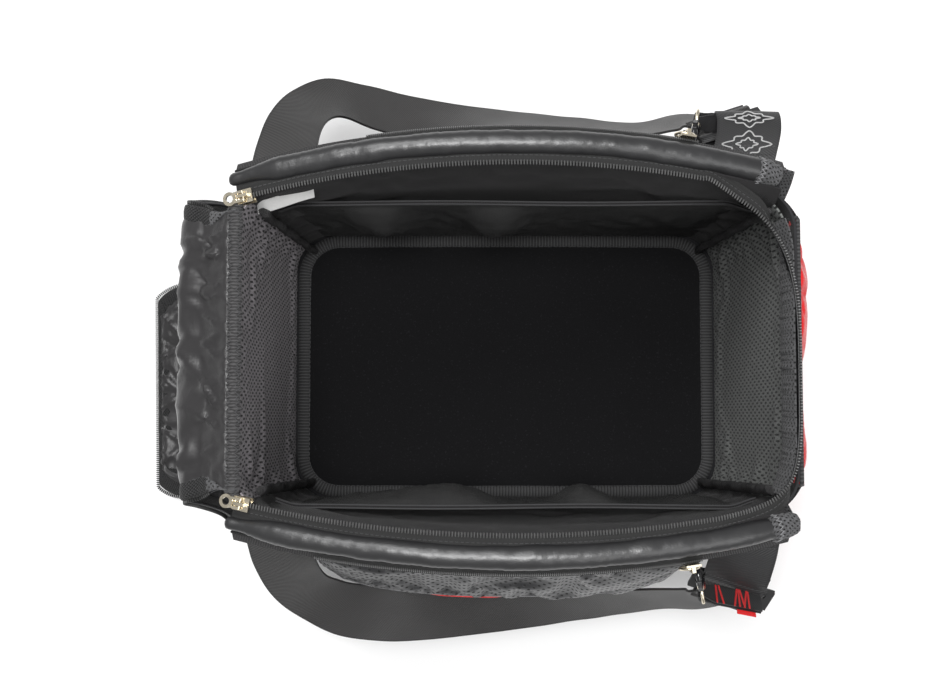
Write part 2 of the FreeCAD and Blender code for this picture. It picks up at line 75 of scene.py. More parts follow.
class Field:
    """A shader value that arithmetic works on. Lengths in shaders are in millimetres."""

    def __init__(self, shade, socket):
        self.shade, self.socket = shade, socket

    def math(self, operation, *others):
        node = self.shade.tree.nodes.new("ShaderNodeMath")
        node.operation = operation
        for socket, value in zip(node.inputs, (self, *others)):
            self.shade.feed(socket, value)
        return Field(self.shade, node.outputs[0])

    def __add__(self, other):
        return self.math("ADD", other)

    def __sub__(self, other):
        return self.math("SUBTRACT", other)

    def __mul__(self, other):
        return self.math("MULTIPLY", other)

    def __truediv__(self, other):
        return self.math("DIVIDE", other)

    def wave(self, pitch):
        """0 to 1 and back once every pitch."""
        return (self * (2 * math.pi / pitch)).math("SINE") * 0.5 + 0.5

    def cell(self, pitch, shift=0.0):
        """Distance from the middle of each cell."""
        return ((self / pitch + shift).math("FRACT") - 0.5) * pitch

    def step(self, low, high):
        """Rises smoothly from 0 at low to 1 at high."""
        node = self.shade.tree.nodes.new("ShaderNodeMapRange")
        node.interpolation_type = "SMOOTHSTEP"
        for name, value in (("Value", self), ("From Min", low), ("From Max", high)):
            self.shade.feed(node.inputs[name], value)
        return Field(self.shade, node.outputs["Result"])


class Shade:
    """One Principled material under construction."""

    def __init__(self, name, **fixed):
        self.material = bpy.data.materials.new(name)
        self.material.use_nodes = True
        self.tree = self.material.node_tree
        self.bsdf = self.tree.nodes["Principled BSDF"]
        for key, value in fixed.items():
            self.bsdf.inputs[key.replace("_", " ")].default_value = value
        at = self.tree.nodes.new("ShaderNodeTexCoord")
        self.place = self.scaled(at.outputs["Object"], 1000.0)
        split = self.tree.nodes.new("ShaderNodeSeparateXYZ")
        self.tree.links.new(at.outputs["UV"], split.inputs[0])
        self.u, self.v = (Field(self, split.outputs[i]) * 1000.0 for i in (0, 1))

    def scaled(self, socket, factor):
        node = self.tree.nodes.new("ShaderNodeVectorMath")
        node.operation = "SCALE"
        self.tree.links.new(socket, node.inputs[0])
        node.inputs["Scale"].default_value = factor
        return Field(self, node.outputs[0])

    def feed(self, socket, value):
        if isinstance(value, Field):
            self.tree.links.new(value.socket, socket)
        else:
            socket.default_value = (*value, 1.0) if isinstance(value, tuple) else value

    def noise(self, size, detail=2.0, distortion=0.0):
        node = self.tree.nodes.new("ShaderNodeTexNoise")
        self.feed(node.inputs["Vector"], self.place)
        for name, value in (("Scale", 1 / size), ("Detail", detail), ("Distortion", distortion)):
            node.inputs[name].default_value = value
        return Field(self, node.outputs["Fac"])

    def cells(self, size):
        node = self.tree.nodes.new("ShaderNodeTexVoronoi")
        self.feed(node.inputs["Vector"], self.place)
        node.inputs["Scale"].default_value = 1 / size
        return Field(self, node.outputs["Distance"])

    def mix(self, factor, a, b):
        node = self.tree.nodes.new("ShaderNodeMix")
        node.data_type = "RGBA"
        for socket, value in ((node.inputs[0], factor), (node.inputs[6], a), (node.inputs[7], b)):
            self.feed(socket, value)
        return Field(self, node.outputs[2])

    def dots(self, pitch_u, pitch_v, radius_u, radius_v):
        """1 inside staggered oval holes, 0 between them."""
        rows = []
        for shift in (0.0, 0.5):
            a = self.u.cell(pitch_u, shift) / radius_u
            b = self.v.cell(pitch_v, shift) / radius_v
            rows.append((a * a + b * b).math("SQRT"))
        return rows[0].math("MINIMUM", rows[1]).step(1.25, 0.75)

    def finish(self, colour, roughness, height, depth, alpha=None):
        """Wires the outputs up. height is 0 to 1, and depth is what 1 stands for in millimetres."""
        self.feed(self.bsdf.inputs["Base Color"], colour)
        self.feed(self.bsdf.inputs["Roughness"], roughness)
        bump = self.tree.nodes.new("ShaderNodeBump")
        bump.inputs["Distance"].default_value = depth * MM
        self.feed(bump.inputs["Height"], height)
        self.tree.links.new(bump.outputs["Normal"], self.bsdf.inputs["Normal"])
        if alpha is not None:
            self.feed(self.bsdf.inputs["Alpha"], alpha)
        return self.material


def tone(colour, factor):
    return tuple(min(c * factor, 1.0) for c in colour)


def leather(name, colour, roughness=0.46, holes=False):
    s = Shade(name, Specular_IOR_Level=0.8)
    grain = s.cells(1.3) * 0.7 + s.noise(0.5, 3) * 0.5
    soft = s.noise(42, 3)
    worn = s.noise(11, 4, 0.6)
    look = s.mix(soft * 0.7 + worn * 0.3, tone(colour, 0.72), tone(colour, 1.35))
    if not holes:
        return s.finish(look, (soft - 0.5) * 0.06 + roughness + worn * 0.04, grain, 0.07)
    holes = s.dots(6.6, 6.2, 1.05, 0.9)
    look = s.mix(holes, look, (0.002, 0.002, 0.002))
    return s.finish(look, holes * 0.6 + (soft - 0.5) * 0.1 + roughness, grain * 0.12 - holes, 0.35)


def mesh_knit(name, colour, dark, pitch=(4.1, 3.5), hole=(0.78, 0.52)):
    """Spacer mesh of mixed yarns with small oval holes."""
    s = Shade(name, Specular_IOR_Level=0.2, Sheen_Weight=0.12, Sheen_Roughness=0.5)
    yarn = s.noise(0.7, 3)
    flecks = s.noise(1.5, 4, 1.2).step(0.38, 0.62)
    shade = s.noise(26, 3)
    holes = s.dots(*pitch, *hole)
    look = s.mix(flecks * 0.6 + shade * 0.4, tone(colour, 0.6), tone(colour, 1.45))
    look = s.mix(holes, look, dark)
    return s.finish(look, 0.86, yarn * 0.35 + flecks * 0.2 - holes, 0.5)


def satin(name, colour):
    s = Shade(name, Specular_IOR_Level=0.6, Sheen_Weight=0.06, Sheen_Roughness=0.3)
    threads = s.u.wave(0.55) * 0.5 + s.v.wave(0.4) * 0.5
    crush = s.noise(9, 5, 1.0)
    soft = s.noise(55, 2)
    look = s.mix(soft * 0.6 + crush * 0.4, tone(colour, 0.75), tone(colour, 1.3))
    return s.finish(look, (crush - 0.5) * 0.14 + 0.33, threads * 0.12 + crush, 0.35)


def felt(name, colour):
    s = Shade(name, Specular_IOR_Level=0.12, Sheen_Weight=0.08, Sheen_Roughness=0.6)
    fibres = s.noise(0.9, 4, 2.0)
    specks = s.noise(1.7, 2).step(0.62, 0.72)
    look = s.mix(fibres * 0.7 + s.noise(60, 2) * 0.3, tone(colour, 0.6), tone(colour, 1.5))
    look = s.mix(specks * 0.35, look, tone(colour, 5.0))
    return s.finish(look, 0.95, fibres, 0.35)


def grosgrain(name, colour, pitch=1.7):
    """Ribs lie across the tape."""
    s = Shade(name, Specular_IOR_Level=0.25, Sheen_Weight=0.08)
    ribs = s.u.wave(pitch)
    lint = s.noise(1.0, 3)
    look = s.mix(ribs * 0.75 + lint * 0.25, tone(colour, 0.35), tone(colour, 1.7))
    return s.finish(look, lint * 0.1 + 0.62, ribs + lint * 0.2, 0.4)


def webbing(name, colour, half=22.5):
    """Twill webbing with a denser edge."""
    s = Shade(name, Specular_IOR_Level=0.45, Sheen_Weight=0.05, Sheen_Roughness=0.35)
    twill = (s.u + s.v * 0.62).wave(1.8)
    yarn = s.v.wave(0.75)
    edge = s.v.math("ABSOLUTE").step(half - 2.2, half - 1.2)
    soft = s.noise(30, 3)
    look = s.mix(twill * 0.55 + soft * 0.45, tone(colour, 0.62), tone(colour, 1.4))
    look = s.mix(edge * 0.5, look, tone(colour, 0.5))
    return s.finish(look, (soft - 0.5) * 0.1 + 0.47, twill * 0.7 + yarn * 0.3 + edge * 0.4, 0.22)


def weave(name, colour, pitch=0.9, roughness=0.72, sheen=0.1, depth=0.16, grid=0.0):
    """Plain woven cloth, with ripstop lines every grid millimetres if that isn't 0."""
    s = Shade(name, Specular_IOR_Level=0.2, Sheen_Weight=sheen, Sheen_Roughness=0.4)
    threads = (s.u.wave(pitch) + s.v.wave(pitch)) * 0.5
    soft = s.noise(34, 3)
    lint = s.noise(1.4, 3)
    look = s.mix(soft * 0.55 + threads * 0.25 + lint * 0.2, tone(colour, 0.66), tone(colour, 1.34))
    height = threads * 0.7 + lint * 0.3
    if grid:
        lines = (s.u.cell(grid).math("ABSOLUTE").math("MINIMUM", s.v.cell(grid).math("ABSOLUTE"))).step(0.5, 0.2)
        height = height + lines * 0.8
    return s.finish(look, (soft - 0.5) * 0.1 + roughness, height, depth)


def herringbone(name, colour):
    s = Shade(name, Specular_IOR_Level=0.25)
    slant = (s.u + s.v.cell(2.6).math("ABSOLUTE") * 1.4).wave(1.3)
    look = s.mix(slant * 0.8 + s.noise(3, 3) * 0.2, tone(colour, 0.5), tone(colour, 1.5))
    return s.finish(look, 0.66, slant, 0.2)


def net(name, colour):
    """See-through knotted net."""
    s = Shade(name, Specular_IOR_Level=0.25)
    holes = s.dots(2.3, 2.3, 0.72, 0.72)
    threads = s.noise(0.8, 2)
    look = s.mix(threads * 0.5 + s.noise(20, 2) * 0.5, tone(colour, 0.6), tone(colour, 1.6))
    return s.finish(look, 0.75, threads - holes, 0.2, alpha=holes * -0.62 + 1.0)


def metal(name, colour, roughness):
    s = Shade(name, Metallic=1.0)
    worn = s.noise(2.6, 4, 0.5)
    fine = s.noise(0.35, 2)
    look = s.mix(worn, tone(colour, 0.8), tone(colour, 1.08))
    return s.finish(look, worn * 0.14 + roughness, worn * 0.6 + fine * 0.4, 0.02)


def moulded(name, colour, roughness, depth=0.03, coat=0.0):
    s = Shade(name, Coat_Weight=coat, Coat_Roughness=0.08)
    fine = s.noise(0.45, 3)
    soft = s.noise(7, 3)
    look = s.mix(soft, tone(colour, 0.75), tone(colour, 1.3))
    return s.finish(look, soft * 0.1 + roughness, fine, depth)


# The left and right end walls are lined with one grey mesh. The left copy is painted lighter as painted light, and the
# right copy darker as painted shade.
GREY_LEFT_LIT, GREY_RIGHT_SHADED = (0.300, 0.278, 0.296), (0.150, 0.156, 0.151)
RIM = leather("rim_leather", (0.018, 0.018, 0.019), 0.36)
PERFORATED = leather("perforated_leather", (0.014, 0.014, 0.016), 0.36, holes=True)
KNIT_LEFT_LIT = mesh_knit("heather_mesh_left_lit", GREY_LEFT_LIT, (0.020, 0.018, 0.020), (13.0, 4.6), (2.9, 0.8))
KNIT_RIGHT_SHADED = mesh_knit("heather_mesh_right_shaded", GREY_RIGHT_SHADED, (0.012, 0.013, 0.012), (13.0, 4.6), (2.9, 0.8))
KNIT_PATCH = mesh_knit("heather_mesh_patch", (0.085, 0.085, 0.088), (0.010, 0.010, 0.010), (4.4, 3.6), (0.8, 0.6))
KNIT_BORDER = mesh_knit("lid_border_knit", (0.022, 0.022, 0.023), (0.006, 0.006, 0.006), (2.6, 2.2))
SATIN = satin("lid_satin", (0.026, 0.025, 0.026))
FELT = felt("floor_felt", (0.0055, 0.0055, 0.0062))
RIBBED = grosgrain("ribbed_binding", (0.040, 0.040, 0.041), 2.6)
OVERLOCK = grosgrain("overlocked_edge", (0.048, 0.047, 0.048), 2.3)
ELASTIC = grosgrain("elastic_binding", (0.020, 0.019, 0.020), 1.2)
WEBBING = webbing("strap_webbing", (0.025, 0.024, 0.024))
TAB_WEBBING = webbing("tab_webbing", (0.022, 0.022, 0.023))
NARROW = webbing("narrow_webbing", (0.020, 0.020, 0.021), 7.0)
SHELL = weave("shell_polyester", (0.020, 0.020, 0.022), 0.9, 0.68)
LID_SHELL = weave("lid_shell_polyester", (0.022, 0.022, 0.024), 0.9, 0.6, grid=6.0)
WALL_CLOTH = weave("wall_lining_cloth", (0.026, 0.025, 0.026), 0.6, 0.82, 0.1)
RED = weave("red_cloth", (0.66, 0.016, 0.018), 1.0, 0.55, 0.25, 0.2, grid=5.0)
PIPING = weave("dark_piping", (0.030, 0.030, 0.033), 0.8, 0.6)
LABEL = weave("label_satin", (0.66, 0.66, 0.65), 0.5, 0.5, 0.2, 0.06)
TAPE = herringbone("zip_tape", (0.024, 0.024, 0.024))
# The bag's zip teeth are painted several times lighter than the lid's half of the same zip: a painted glint on dark
# teeth.
COIL = moulded("zip_teeth", (0.12, 0.12, 0.12), 0.28, 0.02)
LID_COIL = moulded("lid_zip_teeth", (0.022, 0.022, 0.022), 0.45, 0.02)
NET = net("black_net", (0.070, 0.070, 0.070))
GILT = metal("gilt_metal", (0.86, 0.78, 0.62), 0.20)
BLACK_METAL = moulded("black_enamel", (0.010, 0.010, 0.011), 0.16, 0.01, 0.6)
PLASTIC = moulded("black_plastic", (0.016, 0.016, 0.017), 0.34)
RED_THREAD = grosgrain("red_thread", (0.62, 0.020, 0.022), 0.6)
GREY_THREAD = grosgrain("grey_thread", (0.30, 0.30, 0.31), 0.6)
DARK_THREAD = grosgrain("dark_thread", (0.075, 0.075, 0.078), 0.6)
WHITE_THREAD = grosgrain("white_thread", (0.80, 0.80, 0.80), 0.6)


# ---------------------------------------------------------------- geometry

def smoothstep(t):
    t = np.clip(t, 0, 1)
    return t * t * (3 - 2 * t)


def curve(points, count):
    """A smooth curve through the points, as count evenly numbered samples."""
    p = np.array(points, float)
    p = np.vstack([2 * p[0] - p[1], p, 2 * p[-1] - p[-2]])
    t = np.linspace(0, len(p) - 3 - 1e-9, count)
    i = t.astype(int)
    f = (t - i)[:, None]
    a, b, c, d = p[i], p[i + 1], p[i + 2], p[i + 3]
    return 0.5 * (2 * b + (c - a) * f + (2 * a - 5 * b + 4 * c - d) * f**2 + (3 * b - a - 3 * c + d) * f**3)


def lengths(path):
    return np.concatenate([[0], np.cumsum(np.linalg.norm(np.diff(path, axis=0), axis=1))])


def evenly(path, pitch, *others):
    """The path, and arrays that go with it, at equal distances along it."""
    run = lengths(path)
    at = np.linspace(0, run[-1], max(int(run[-1] / pitch), 2))
    return [np.stack([np.interp(at, run, q[:, k]) for k in range(q.shape[1])], 1) for q in (path, *others)]


def finer(rows, times=2):
    """The same grid with more points, on smooth curves."""
    n, m = rows.shape[:2]
    out = np.stack([curve(rows[:, j], times * (n - 1) + 1) for j in range(m)], 1)
    return np.stack([curve(out[i], times * (m - 1) + 1) for i in range(len(out))], 0)


def ripple(a, b, size, seed):
    """An uneven field of about -1 to 1, whose bumps are about size across."""
    dice = np.random.default_rng(seed)
    total = 0
    for _ in range(7):
        way, bend, phase = dice.uniform(0, 2 * math.pi, 3)
        rate = 2 * math.pi / size * dice.uniform(0.55, 1.5)
        along = a * math.cos(way) + b * math.sin(way)
        total = total + np.sin(rate * along + phase + 1.3 * np.sin(rate * 0.37 * (a * math.sin(bend) + b) + bend))
    return total / 3.2


def normals(rows, wrap=False):
    """Unit normals of a grid. wrap is for one whose first and last columns are the same."""
    du, dv = np.gradient(rows, axis=0), np.gradient(rows, axis=1)
    if wrap:
        dv[:, 0] = dv[:, -1] = rows[:, 1] - rows[:, -2]
    n = np.cross(du, dv)
    return n / np.maximum(np.linalg.norm(n, axis=2, keepdims=True), 1e-9)


def flat_map(rows):
    """UVs in metres: distance along the grid, and distance from its middle line."""
    n, m = rows.shape[:2]
    along = np.concatenate([[0], np.cumsum(np.linalg.norm(np.diff(rows, axis=0), axis=2).mean(1))])
    across = np.concatenate([np.zeros((n, 1)), np.cumsum(np.linalg.norm(np.diff(rows, axis=1), axis=2), 1)], 1)
    across = across - across[:, m // 2][:, None]
    return np.stack([np.repeat(along[:, None], m, 1), across], 2) * MM


def grid_quads(n, m):
    """Faces of an n by m grid of points."""
    at = np.arange(n * m).reshape(n, m)
    return np.stack([at[:-1, :-1], at[1:, :-1], at[1:, 1:], at[:-1, 1:]], 2).reshape(-1, 4)


def wrapped_faces(n, m, capped=True):
    """Faces of a grid rolled into a bar, which turn the other way, and the flat caps on its two ends."""
    at = np.arange(n * m).reshape(n, m)
    quads = np.stack([at[:-1, :-1], at[:-1, 1:], at[1:, 1:], at[1:, :-1]], 2).reshape(-1, 4).tolist()
    return quads, [at[0, :-1].tolist(), at[-1, :-1].tolist()] if capped else []


def plane_grid(low_a, high_a, n, low_b, high_b, m):
    """Two n by m arrays: a changes down the rows and b along them."""
    return np.meshgrid(np.linspace(low_a, high_a, n), np.linspace(low_b, high_b, m), indexing="ij")


def mesh(name, verts, faces, uv, material):
    data = bpy.data.meshes.new(name)
    data.from_pydata((np.asarray(verts) * MM).tolist(), [], faces)
    layer = data.uv_layers.new(name="UVMap")
    loops = np.empty(len(data.loops), int)
    data.loops.foreach_get("vertex_index", loops)
    layer.data.foreach_set("uv", np.asarray(uv, float)[loops].ravel())
    data.materials.append(material)
    data.polygons.foreach_set("use_smooth", [True] * len(data.polygons))
    data.set_sharp_from_angle(angle=SHARP_EDGE)
    obj = bpy.data.objects.new(name, data)
    scene.collection.objects.link(obj)
    return obj


def cloth(name, rows, thick, material, uv=None):
    """A sheet through a grid of points, thick millimetres through, with its edges closed."""
    n, m = rows.shape[:2]
    uv = flat_map(rows) if uv is None else uv
    quads = grid_quads(n, m)
    off = normals(rows) * thick / 2
    verts = np.concatenate([(rows + off).reshape(-1, 3), (rows - off).reshape(-1, 3)])
    at = np.arange(n * m).reshape(n, m)
    rim_loop = np.concatenate([at[0], at[1:, -1], at[-1, -2::-1], at[-2:0:-1, 0]]).tolist()
    edge = [[a, b, b + n * m, a + n * m] for a, b in zip(rim_loop, rim_loop[1:] + rim_loop[:1])]
    faces = quads.tolist() + (quads[:, ::-1] + n * m).tolist() + edge
    flat = uv.reshape(-1, 2)
    return mesh(name, verts, faces, np.concatenate([flat, flat]), material)


def ends(path, up):
    """Unit vectors along a path, across it, and up from it."""
    along = np.gradient(path, axis=0)
    along /= np.maximum(np.linalg.norm(along, axis=1, keepdims=True), 1e-9)
    across = np.cross(along, np.broadcast_to(up, path.shape))
    across /= np.maximum(np.linalg.norm(across, axis=1, keepdims=True), 1e-9)
    return along, across, np.cross(across, along)


def tube(name, path, width, height, material, up=(0, 0, 1), sides=14, closed=False, bumps=None, nose=1.0):
    """A round or oval bar along a path. width and height are half sizes, one number or one for each point."""
    path = np.asarray(path, float)
    along, across, high = ends(path, np.asarray(up, float))
    if closed:
        along[0] = along[-1] = (path[1] - path[-2]) / np.linalg.norm(path[1] - path[-2])
        across[0] = across[-1] = (across[1] + across[-2]) / 2
    turn = np.linspace(0, 2 * math.pi, sides + 1)
    w = np.broadcast_to(np.asarray(width, float), (len(path),))
    h = np.broadcast_to(np.asarray(height, float), (len(path),))

    def ring(i, scale, push=0.0):
        return (path[i] + along[i] * push + np.cos(turn)[:, None] * across[i] * w[i] * scale
                + np.sin(turn)[:, None] * high[i] * h[i] * scale)

    rows = [ring(i, 1.0) for i in range(len(path))]
    if not closed:
        for i, sign, put in ((0, -1, 0), (len(path) - 1, 1, None)):
            for angle in (30, 55, 75, 88):
                lift = math.sin(math.radians(angle)) * min(w[i], h[i]) * nose
                row = ring(i, math.cos(math.radians(angle)), sign * lift)
                rows.insert(0, row) if put == 0 else rows.append(row)
    rows = np.array(rows)
    if bumps is not None:
        rows = rows + normals(rows, True) * bumps(rows)[..., None]
    quads, caps = wrapped_faces(*rows.shape[:2], capped=not closed)
    if caps:
        quads += [caps[0], caps[1][::-1]]
    return mesh(name, rows.reshape(-1, 3), quads, flat_map(rows).reshape(-1, 2), material)


def bead(length, width, height, sides=6):
    """A little thread stitch or zip tooth, lying along X."""
    turn = np.linspace(0, 2 * math.pi, sides, endpoint=False) + math.pi / sides
    rows = [[(x * length / 2, np.cos(a) * width / 2 * s, np.sin(a) * height / 2 * s) for a in turn]
            for x, s in ((-1, 0.45), (-0.72, 0.95), (0.72, 0.95), (1, 0.45))]
    faces = [[i * sides + j, i * sides + (j + 1) % sides, (i + 1) * sides + (j + 1) % sides, (i + 1) * sides + j]
             for i in range(3) for j in range(sides)]
    faces += [list(range(sides))[::-1], list(range(3 * sides, 4 * sides))]
    return np.array(rows).reshape(-1, 3), faces


def repeated(name, path, up, pitch, shape, material, turn=0.0, shift=(0, 0), zigzag=0.0):
    """Copies a small shape along a path. turn swings each one about up; shift moves it across and up."""
    path = np.asarray(path, float)
    up = np.broadcast_to(np.asarray(up, float), path.shape)
    spots, ups = evenly(path, pitch, up)
    along, across, high = ends(spots, ups)
    verts, faces = shape
    c, s = math.cos(math.radians(turn)), math.sin(math.radians(turn))
    out, out_faces = [], []
    for i, p in enumerate(spots):
        side = zigzag if i % 2 else -zigzag
        x = along[i] * c + across[i] * s * (1 if not zigzag or i % 2 else -1)
        y = np.cross(high[i], x)
        p = p + across[i] * (shift[0] + side) + high[i] * shift[1]
        out_faces += [[k + len(verts) * i for k in f] for f in faces]
        out.append(p + verts[:, :1] * x + verts[:, 1:2] * y + verts[:, 2:] * high[i])
    out = np.concatenate(out)
    return mesh(name, out, out_faces, out[:, :2] * MM, material)


def relaxed(rows, hold, grow=0.03, press=0.0, cap=6.0, frames=16, seed=1, fine=2, reach=None):
    """Lets a grid of cloth buckle into the folds it would have. hold is 1 where it stays put.

    reach is how far it may go below and above its own surface, when something lies next to it.
    """
    n, m = rows.shape[:2]
    a = lengths(rows[:, m // 2])[:, None]
    b = lengths(rows[n // 2])[None, :]
    out = normals(rows)
    start = rows + out * (ripple(a, b, 34, seed) * (1 - hold) * 0.8)[..., None]
    data = bpy.data.meshes.new("cloth")
    data.from_pydata((start.reshape(-1, 3) * MM).tolist(), [], grid_quads(n, m).tolist())
    obj = bpy.data.objects.new("cloth", data)
    scene.collection.objects.link(obj)
    group = obj.vertex_groups.new(name="hold")
    for i, w in enumerate(hold.ravel()):
        group.add([i], float(w), "REPLACE")
    mod = obj.modifiers.new("Cloth", "CLOTH")
    mod.settings.quality = 6
    mod.settings.mass = 0.2
    mod.settings.tension_stiffness = mod.settings.compression_stiffness = 12
    mod.settings.shear_stiffness = 5
    mod.settings.bending_stiffness = 0.15
    mod.settings.vertex_group_mass = "hold"
    mod.settings.shrink_min = -grow
    mod.settings.use_pressure = press != 0
    mod.settings.uniform_pressure_force = press
    mod.settings.effector_weights.gravity = 0
    mod.collision_settings.use_collision = False
    mod.point_cache.frame_start, mod.point_cache.frame_end = 1, frames
    for f in range(1, frames + 1):
        scene.frame_set(f)
    made = obj.evaluated_get(bpy.context.evaluated_depsgraph_get()).data
    flat = np.empty(n * m * 3)
    made.vertices.foreach_get("co", flat)
    moved = flat.reshape(n, m, 3) / MM - rows
    size = np.linalg.norm(moved, axis=2, keepdims=True)
    start = rows + moved * cap * np.tanh(size / cap) / np.maximum(size, 1e-6)
    bpy.data.objects.remove(obj)
    bpy.data.meshes.remove(data)
    scene.frame_set(1)
    if reach:
        middle, half = (reach[1] + reach[0]) / 2, (reach[1] - reach[0]) / 2
        far = ((start - rows) * out).sum(2, keepdims=True)
        start = start + out * (middle + half * np.tanh((far - middle) / half) - far)
    return finer(start, fine)


def edges_held(n, m, rows_from=1, rows_to=1, sides=1, soft=0):
    """1 on the edge rows and columns of an n by m grid, fading over soft points."""
    i, j = np.meshgrid(np.arange(n), np.arange(m), indexing="ij")
    near = np.minimum.reduce([i - rows_from, n - 1 - i - rows_to, j - sides, m - 1 - j - sides]) + 1
    return np.clip(1 - near / (soft + 1.0), 0, 1)


def piece(obj, body, slot, *nodes, start=None, end=None):
    """Hides the CAD nodes a piece stands for and parents the piece to its body; a piece given two bodies only has its
    transform baked.
    """
    if nodes:
        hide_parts(*nodes)
    if isinstance(body, tuple):
        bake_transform(obj)
    else:
        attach(obj, body)
    return obj


def sheet(obj, rests_on=("front_rim_roll",)):
    """Returns a sheet as it is.

    Six strips, the zip tapes, hems and hinge seam, are really 8.4 to 10.0 mm wide and are declared as NARROWEST.
    """
    return obj


# ---------------------------------------------------------------- the bag's own curves

TEETH_MID, TEETH_END = (119.5, 286.0), (99.0, 262.0)
RIM_RADIUS = 569.73
RIM_UP = np.array([0.0, -0.649486, 0.760374])
RIM_AXIS = np.array([0.0, 0.760374, 0.649486])
RIM_CENTRE = np.array([0.0, 250.5314, -147.2076])
SIDES = (("front", -1), ("back", 1))


def mirrored(points, side):
    """Front points as they are, or their mirror image at the back."""
    return points * np.array([1.0, -side, 1.0])


def rim(x, out=0.0, up=0.0, side=-1):
    """Points that lie out and up from the zip teeth's arc, at x along it."""
    x, out, up = np.broadcast_arrays(np.asarray(x, float), out, up)
    angle = np.arcsin(x / RIM_RADIUS)[..., None]
    offset = np.stack([np.zeros_like(x), -out, up], -1)
    radial = (offset @ RIM_UP)[..., None]
    axial = (offset @ RIM_AXIS)[..., None]
    points = RIM_CENTRE + (RIM_RADIUS + radial) * (np.sin(angle) * np.array([1.0, 0, 0]) + np.cos(angle) * RIM_UP)
    return mirrored(points + axial * RIM_AXIS, side)


def wall_arch(x):
    return 275.0 - 734.5 + np.sqrt(734.5**2 - x**2)


def corner_turn(z, inset):
    """How far round the corner the seam is, in quarter turns, at one height."""
    t = z / 300.0
    return np.arcsin((26 - 10 * t) / (40 - inset - 10 * t)) / (math.pi / 2)


def long_wall(q, z, inset):
    """The front wall: q is -1 to 1 along it, and past that goes round the corners."""
    s, turn = np.clip(q, -1, 1), np.clip(abs(q) - 1, 0, 1) * math.pi / 2

    def at(half, end, mid, corner):
        corner = corner - inset
        x = s * (half - inset - corner) + np.sign(q) * corner * np.sin(turn)
        return x, -(end - inset + (mid - end) * (1 - s**2)) + corner * (1 - np.cos(turn))

    (xb, yb), (xt, yt) = at(190, 123, 124, 40), at(190, 110, 133, 30)
    t = z / 300.0
    return np.stack([xb * (1 - t) + xt * t, yb * (1 - t) + yt * t, z], -1)


def end_wall(q, z, inset):
    """The right wall, in the same way along Y."""
    s, turn = np.clip(q, -1, 1), np.clip(abs(q) - 1, 0, 1) * math.pi / 2

    def at(half, end, corner):
        corner = corner - inset
        y = s * (end - inset - corner) + np.sign(q) * corner * np.sin(turn)
        return half - inset - corner * (1 - np.cos(turn)), y

    (xb, yb), (xt, yt) = at(190, 123, 40), at(190, 110, 30)
    t = z / 300.0
    return np.stack([xb * (1 - t) + xt * t, yb * (1 - t) + yt * t, z], -1)


def long_grid(n, m, floor, inset, drop):
    """A grid over the front wall from floor up to its arched edge."""
    f, q = plane_grid(0, 1, n, -1, 1, m)
    x = 176.0 * q
    z = floor + (wall_arch(x) - drop - floor) * f
    return long_wall(q * (1 + corner_turn(z, inset)), z, inset)


def end_grid(n, m, floor, inset, drop):
    f, q = plane_grid(0, 1, n, -1, 1, m)
    z = floor + (251.0 - drop - floor) * f
    return end_wall(q * (2 - corner_turn(z, inset)), z, inset)


def loop(half, end, mid, corner, z, count=240):
    """A closed plan outline with bowed long sides and round corners."""
    turn = np.linspace(0, math.pi / 2, 14)
    s = np.linspace(-1, 1, 40)
    front = np.stack([s * (half - corner), -(end + (mid - end) * (1 - s**2))], 1)
    bend = np.stack([half - corner + corner * np.sin(turn), -(end - corner) - corner * np.cos(turn)], 1)
    right = np.stack([np.full(20, half), np.linspace(-(end - corner), end - corner, 20)], 1)
    half_way = np.concatenate([front, bend[1:], right[1:]])
    up = bend[::-1] * (1, -1)
    ring = np.concatenate([half_way, up[1:], -front[1:], -bend[1:], -right[1:], (bend[::-1] * (-1, 1))[1:]])
    ring = np.column_stack([ring, np.full(len(ring), z)])
    ring = ring[np.concatenate([[True], np.linalg.norm(np.diff(ring, axis=0), axis=1) > 1e-6])]
    ring = evenly(ring, lengths(ring)[-1] / count)[0]
    ring[-1] = ring[0]
    return ring


def disc(name, rings, material, crown=0.0, seed=3):
    """A solid slab through closed outlines from the bottom to the top, filled to its middle."""
    top, bottom = rings[-1], rings[0]
    fills = []
    for k in np.linspace(0.97, 0.03, 30):
        ring = top * np.array([k, k, 1.0])
        ring[:, 2] += crown * ripple(ring[:, 0], ring[:, 1], 90, seed)
        fills.append(ring)
    under = [bottom * np.array([k, k, 1.0]) for k in (0.05, 0.5, 0.97)]
    rows = np.array([*under, *rings, *fills])
    quads, caps = wrapped_faces(*rows.shape[:2])
    quads += [caps[0][::-1], caps[1]]
    return mesh(name, rows.reshape(-1, 3), quads, rows[..., :2].reshape(-1, 2) * MM, material)


# ---------------------------------------------------------------- base and floor

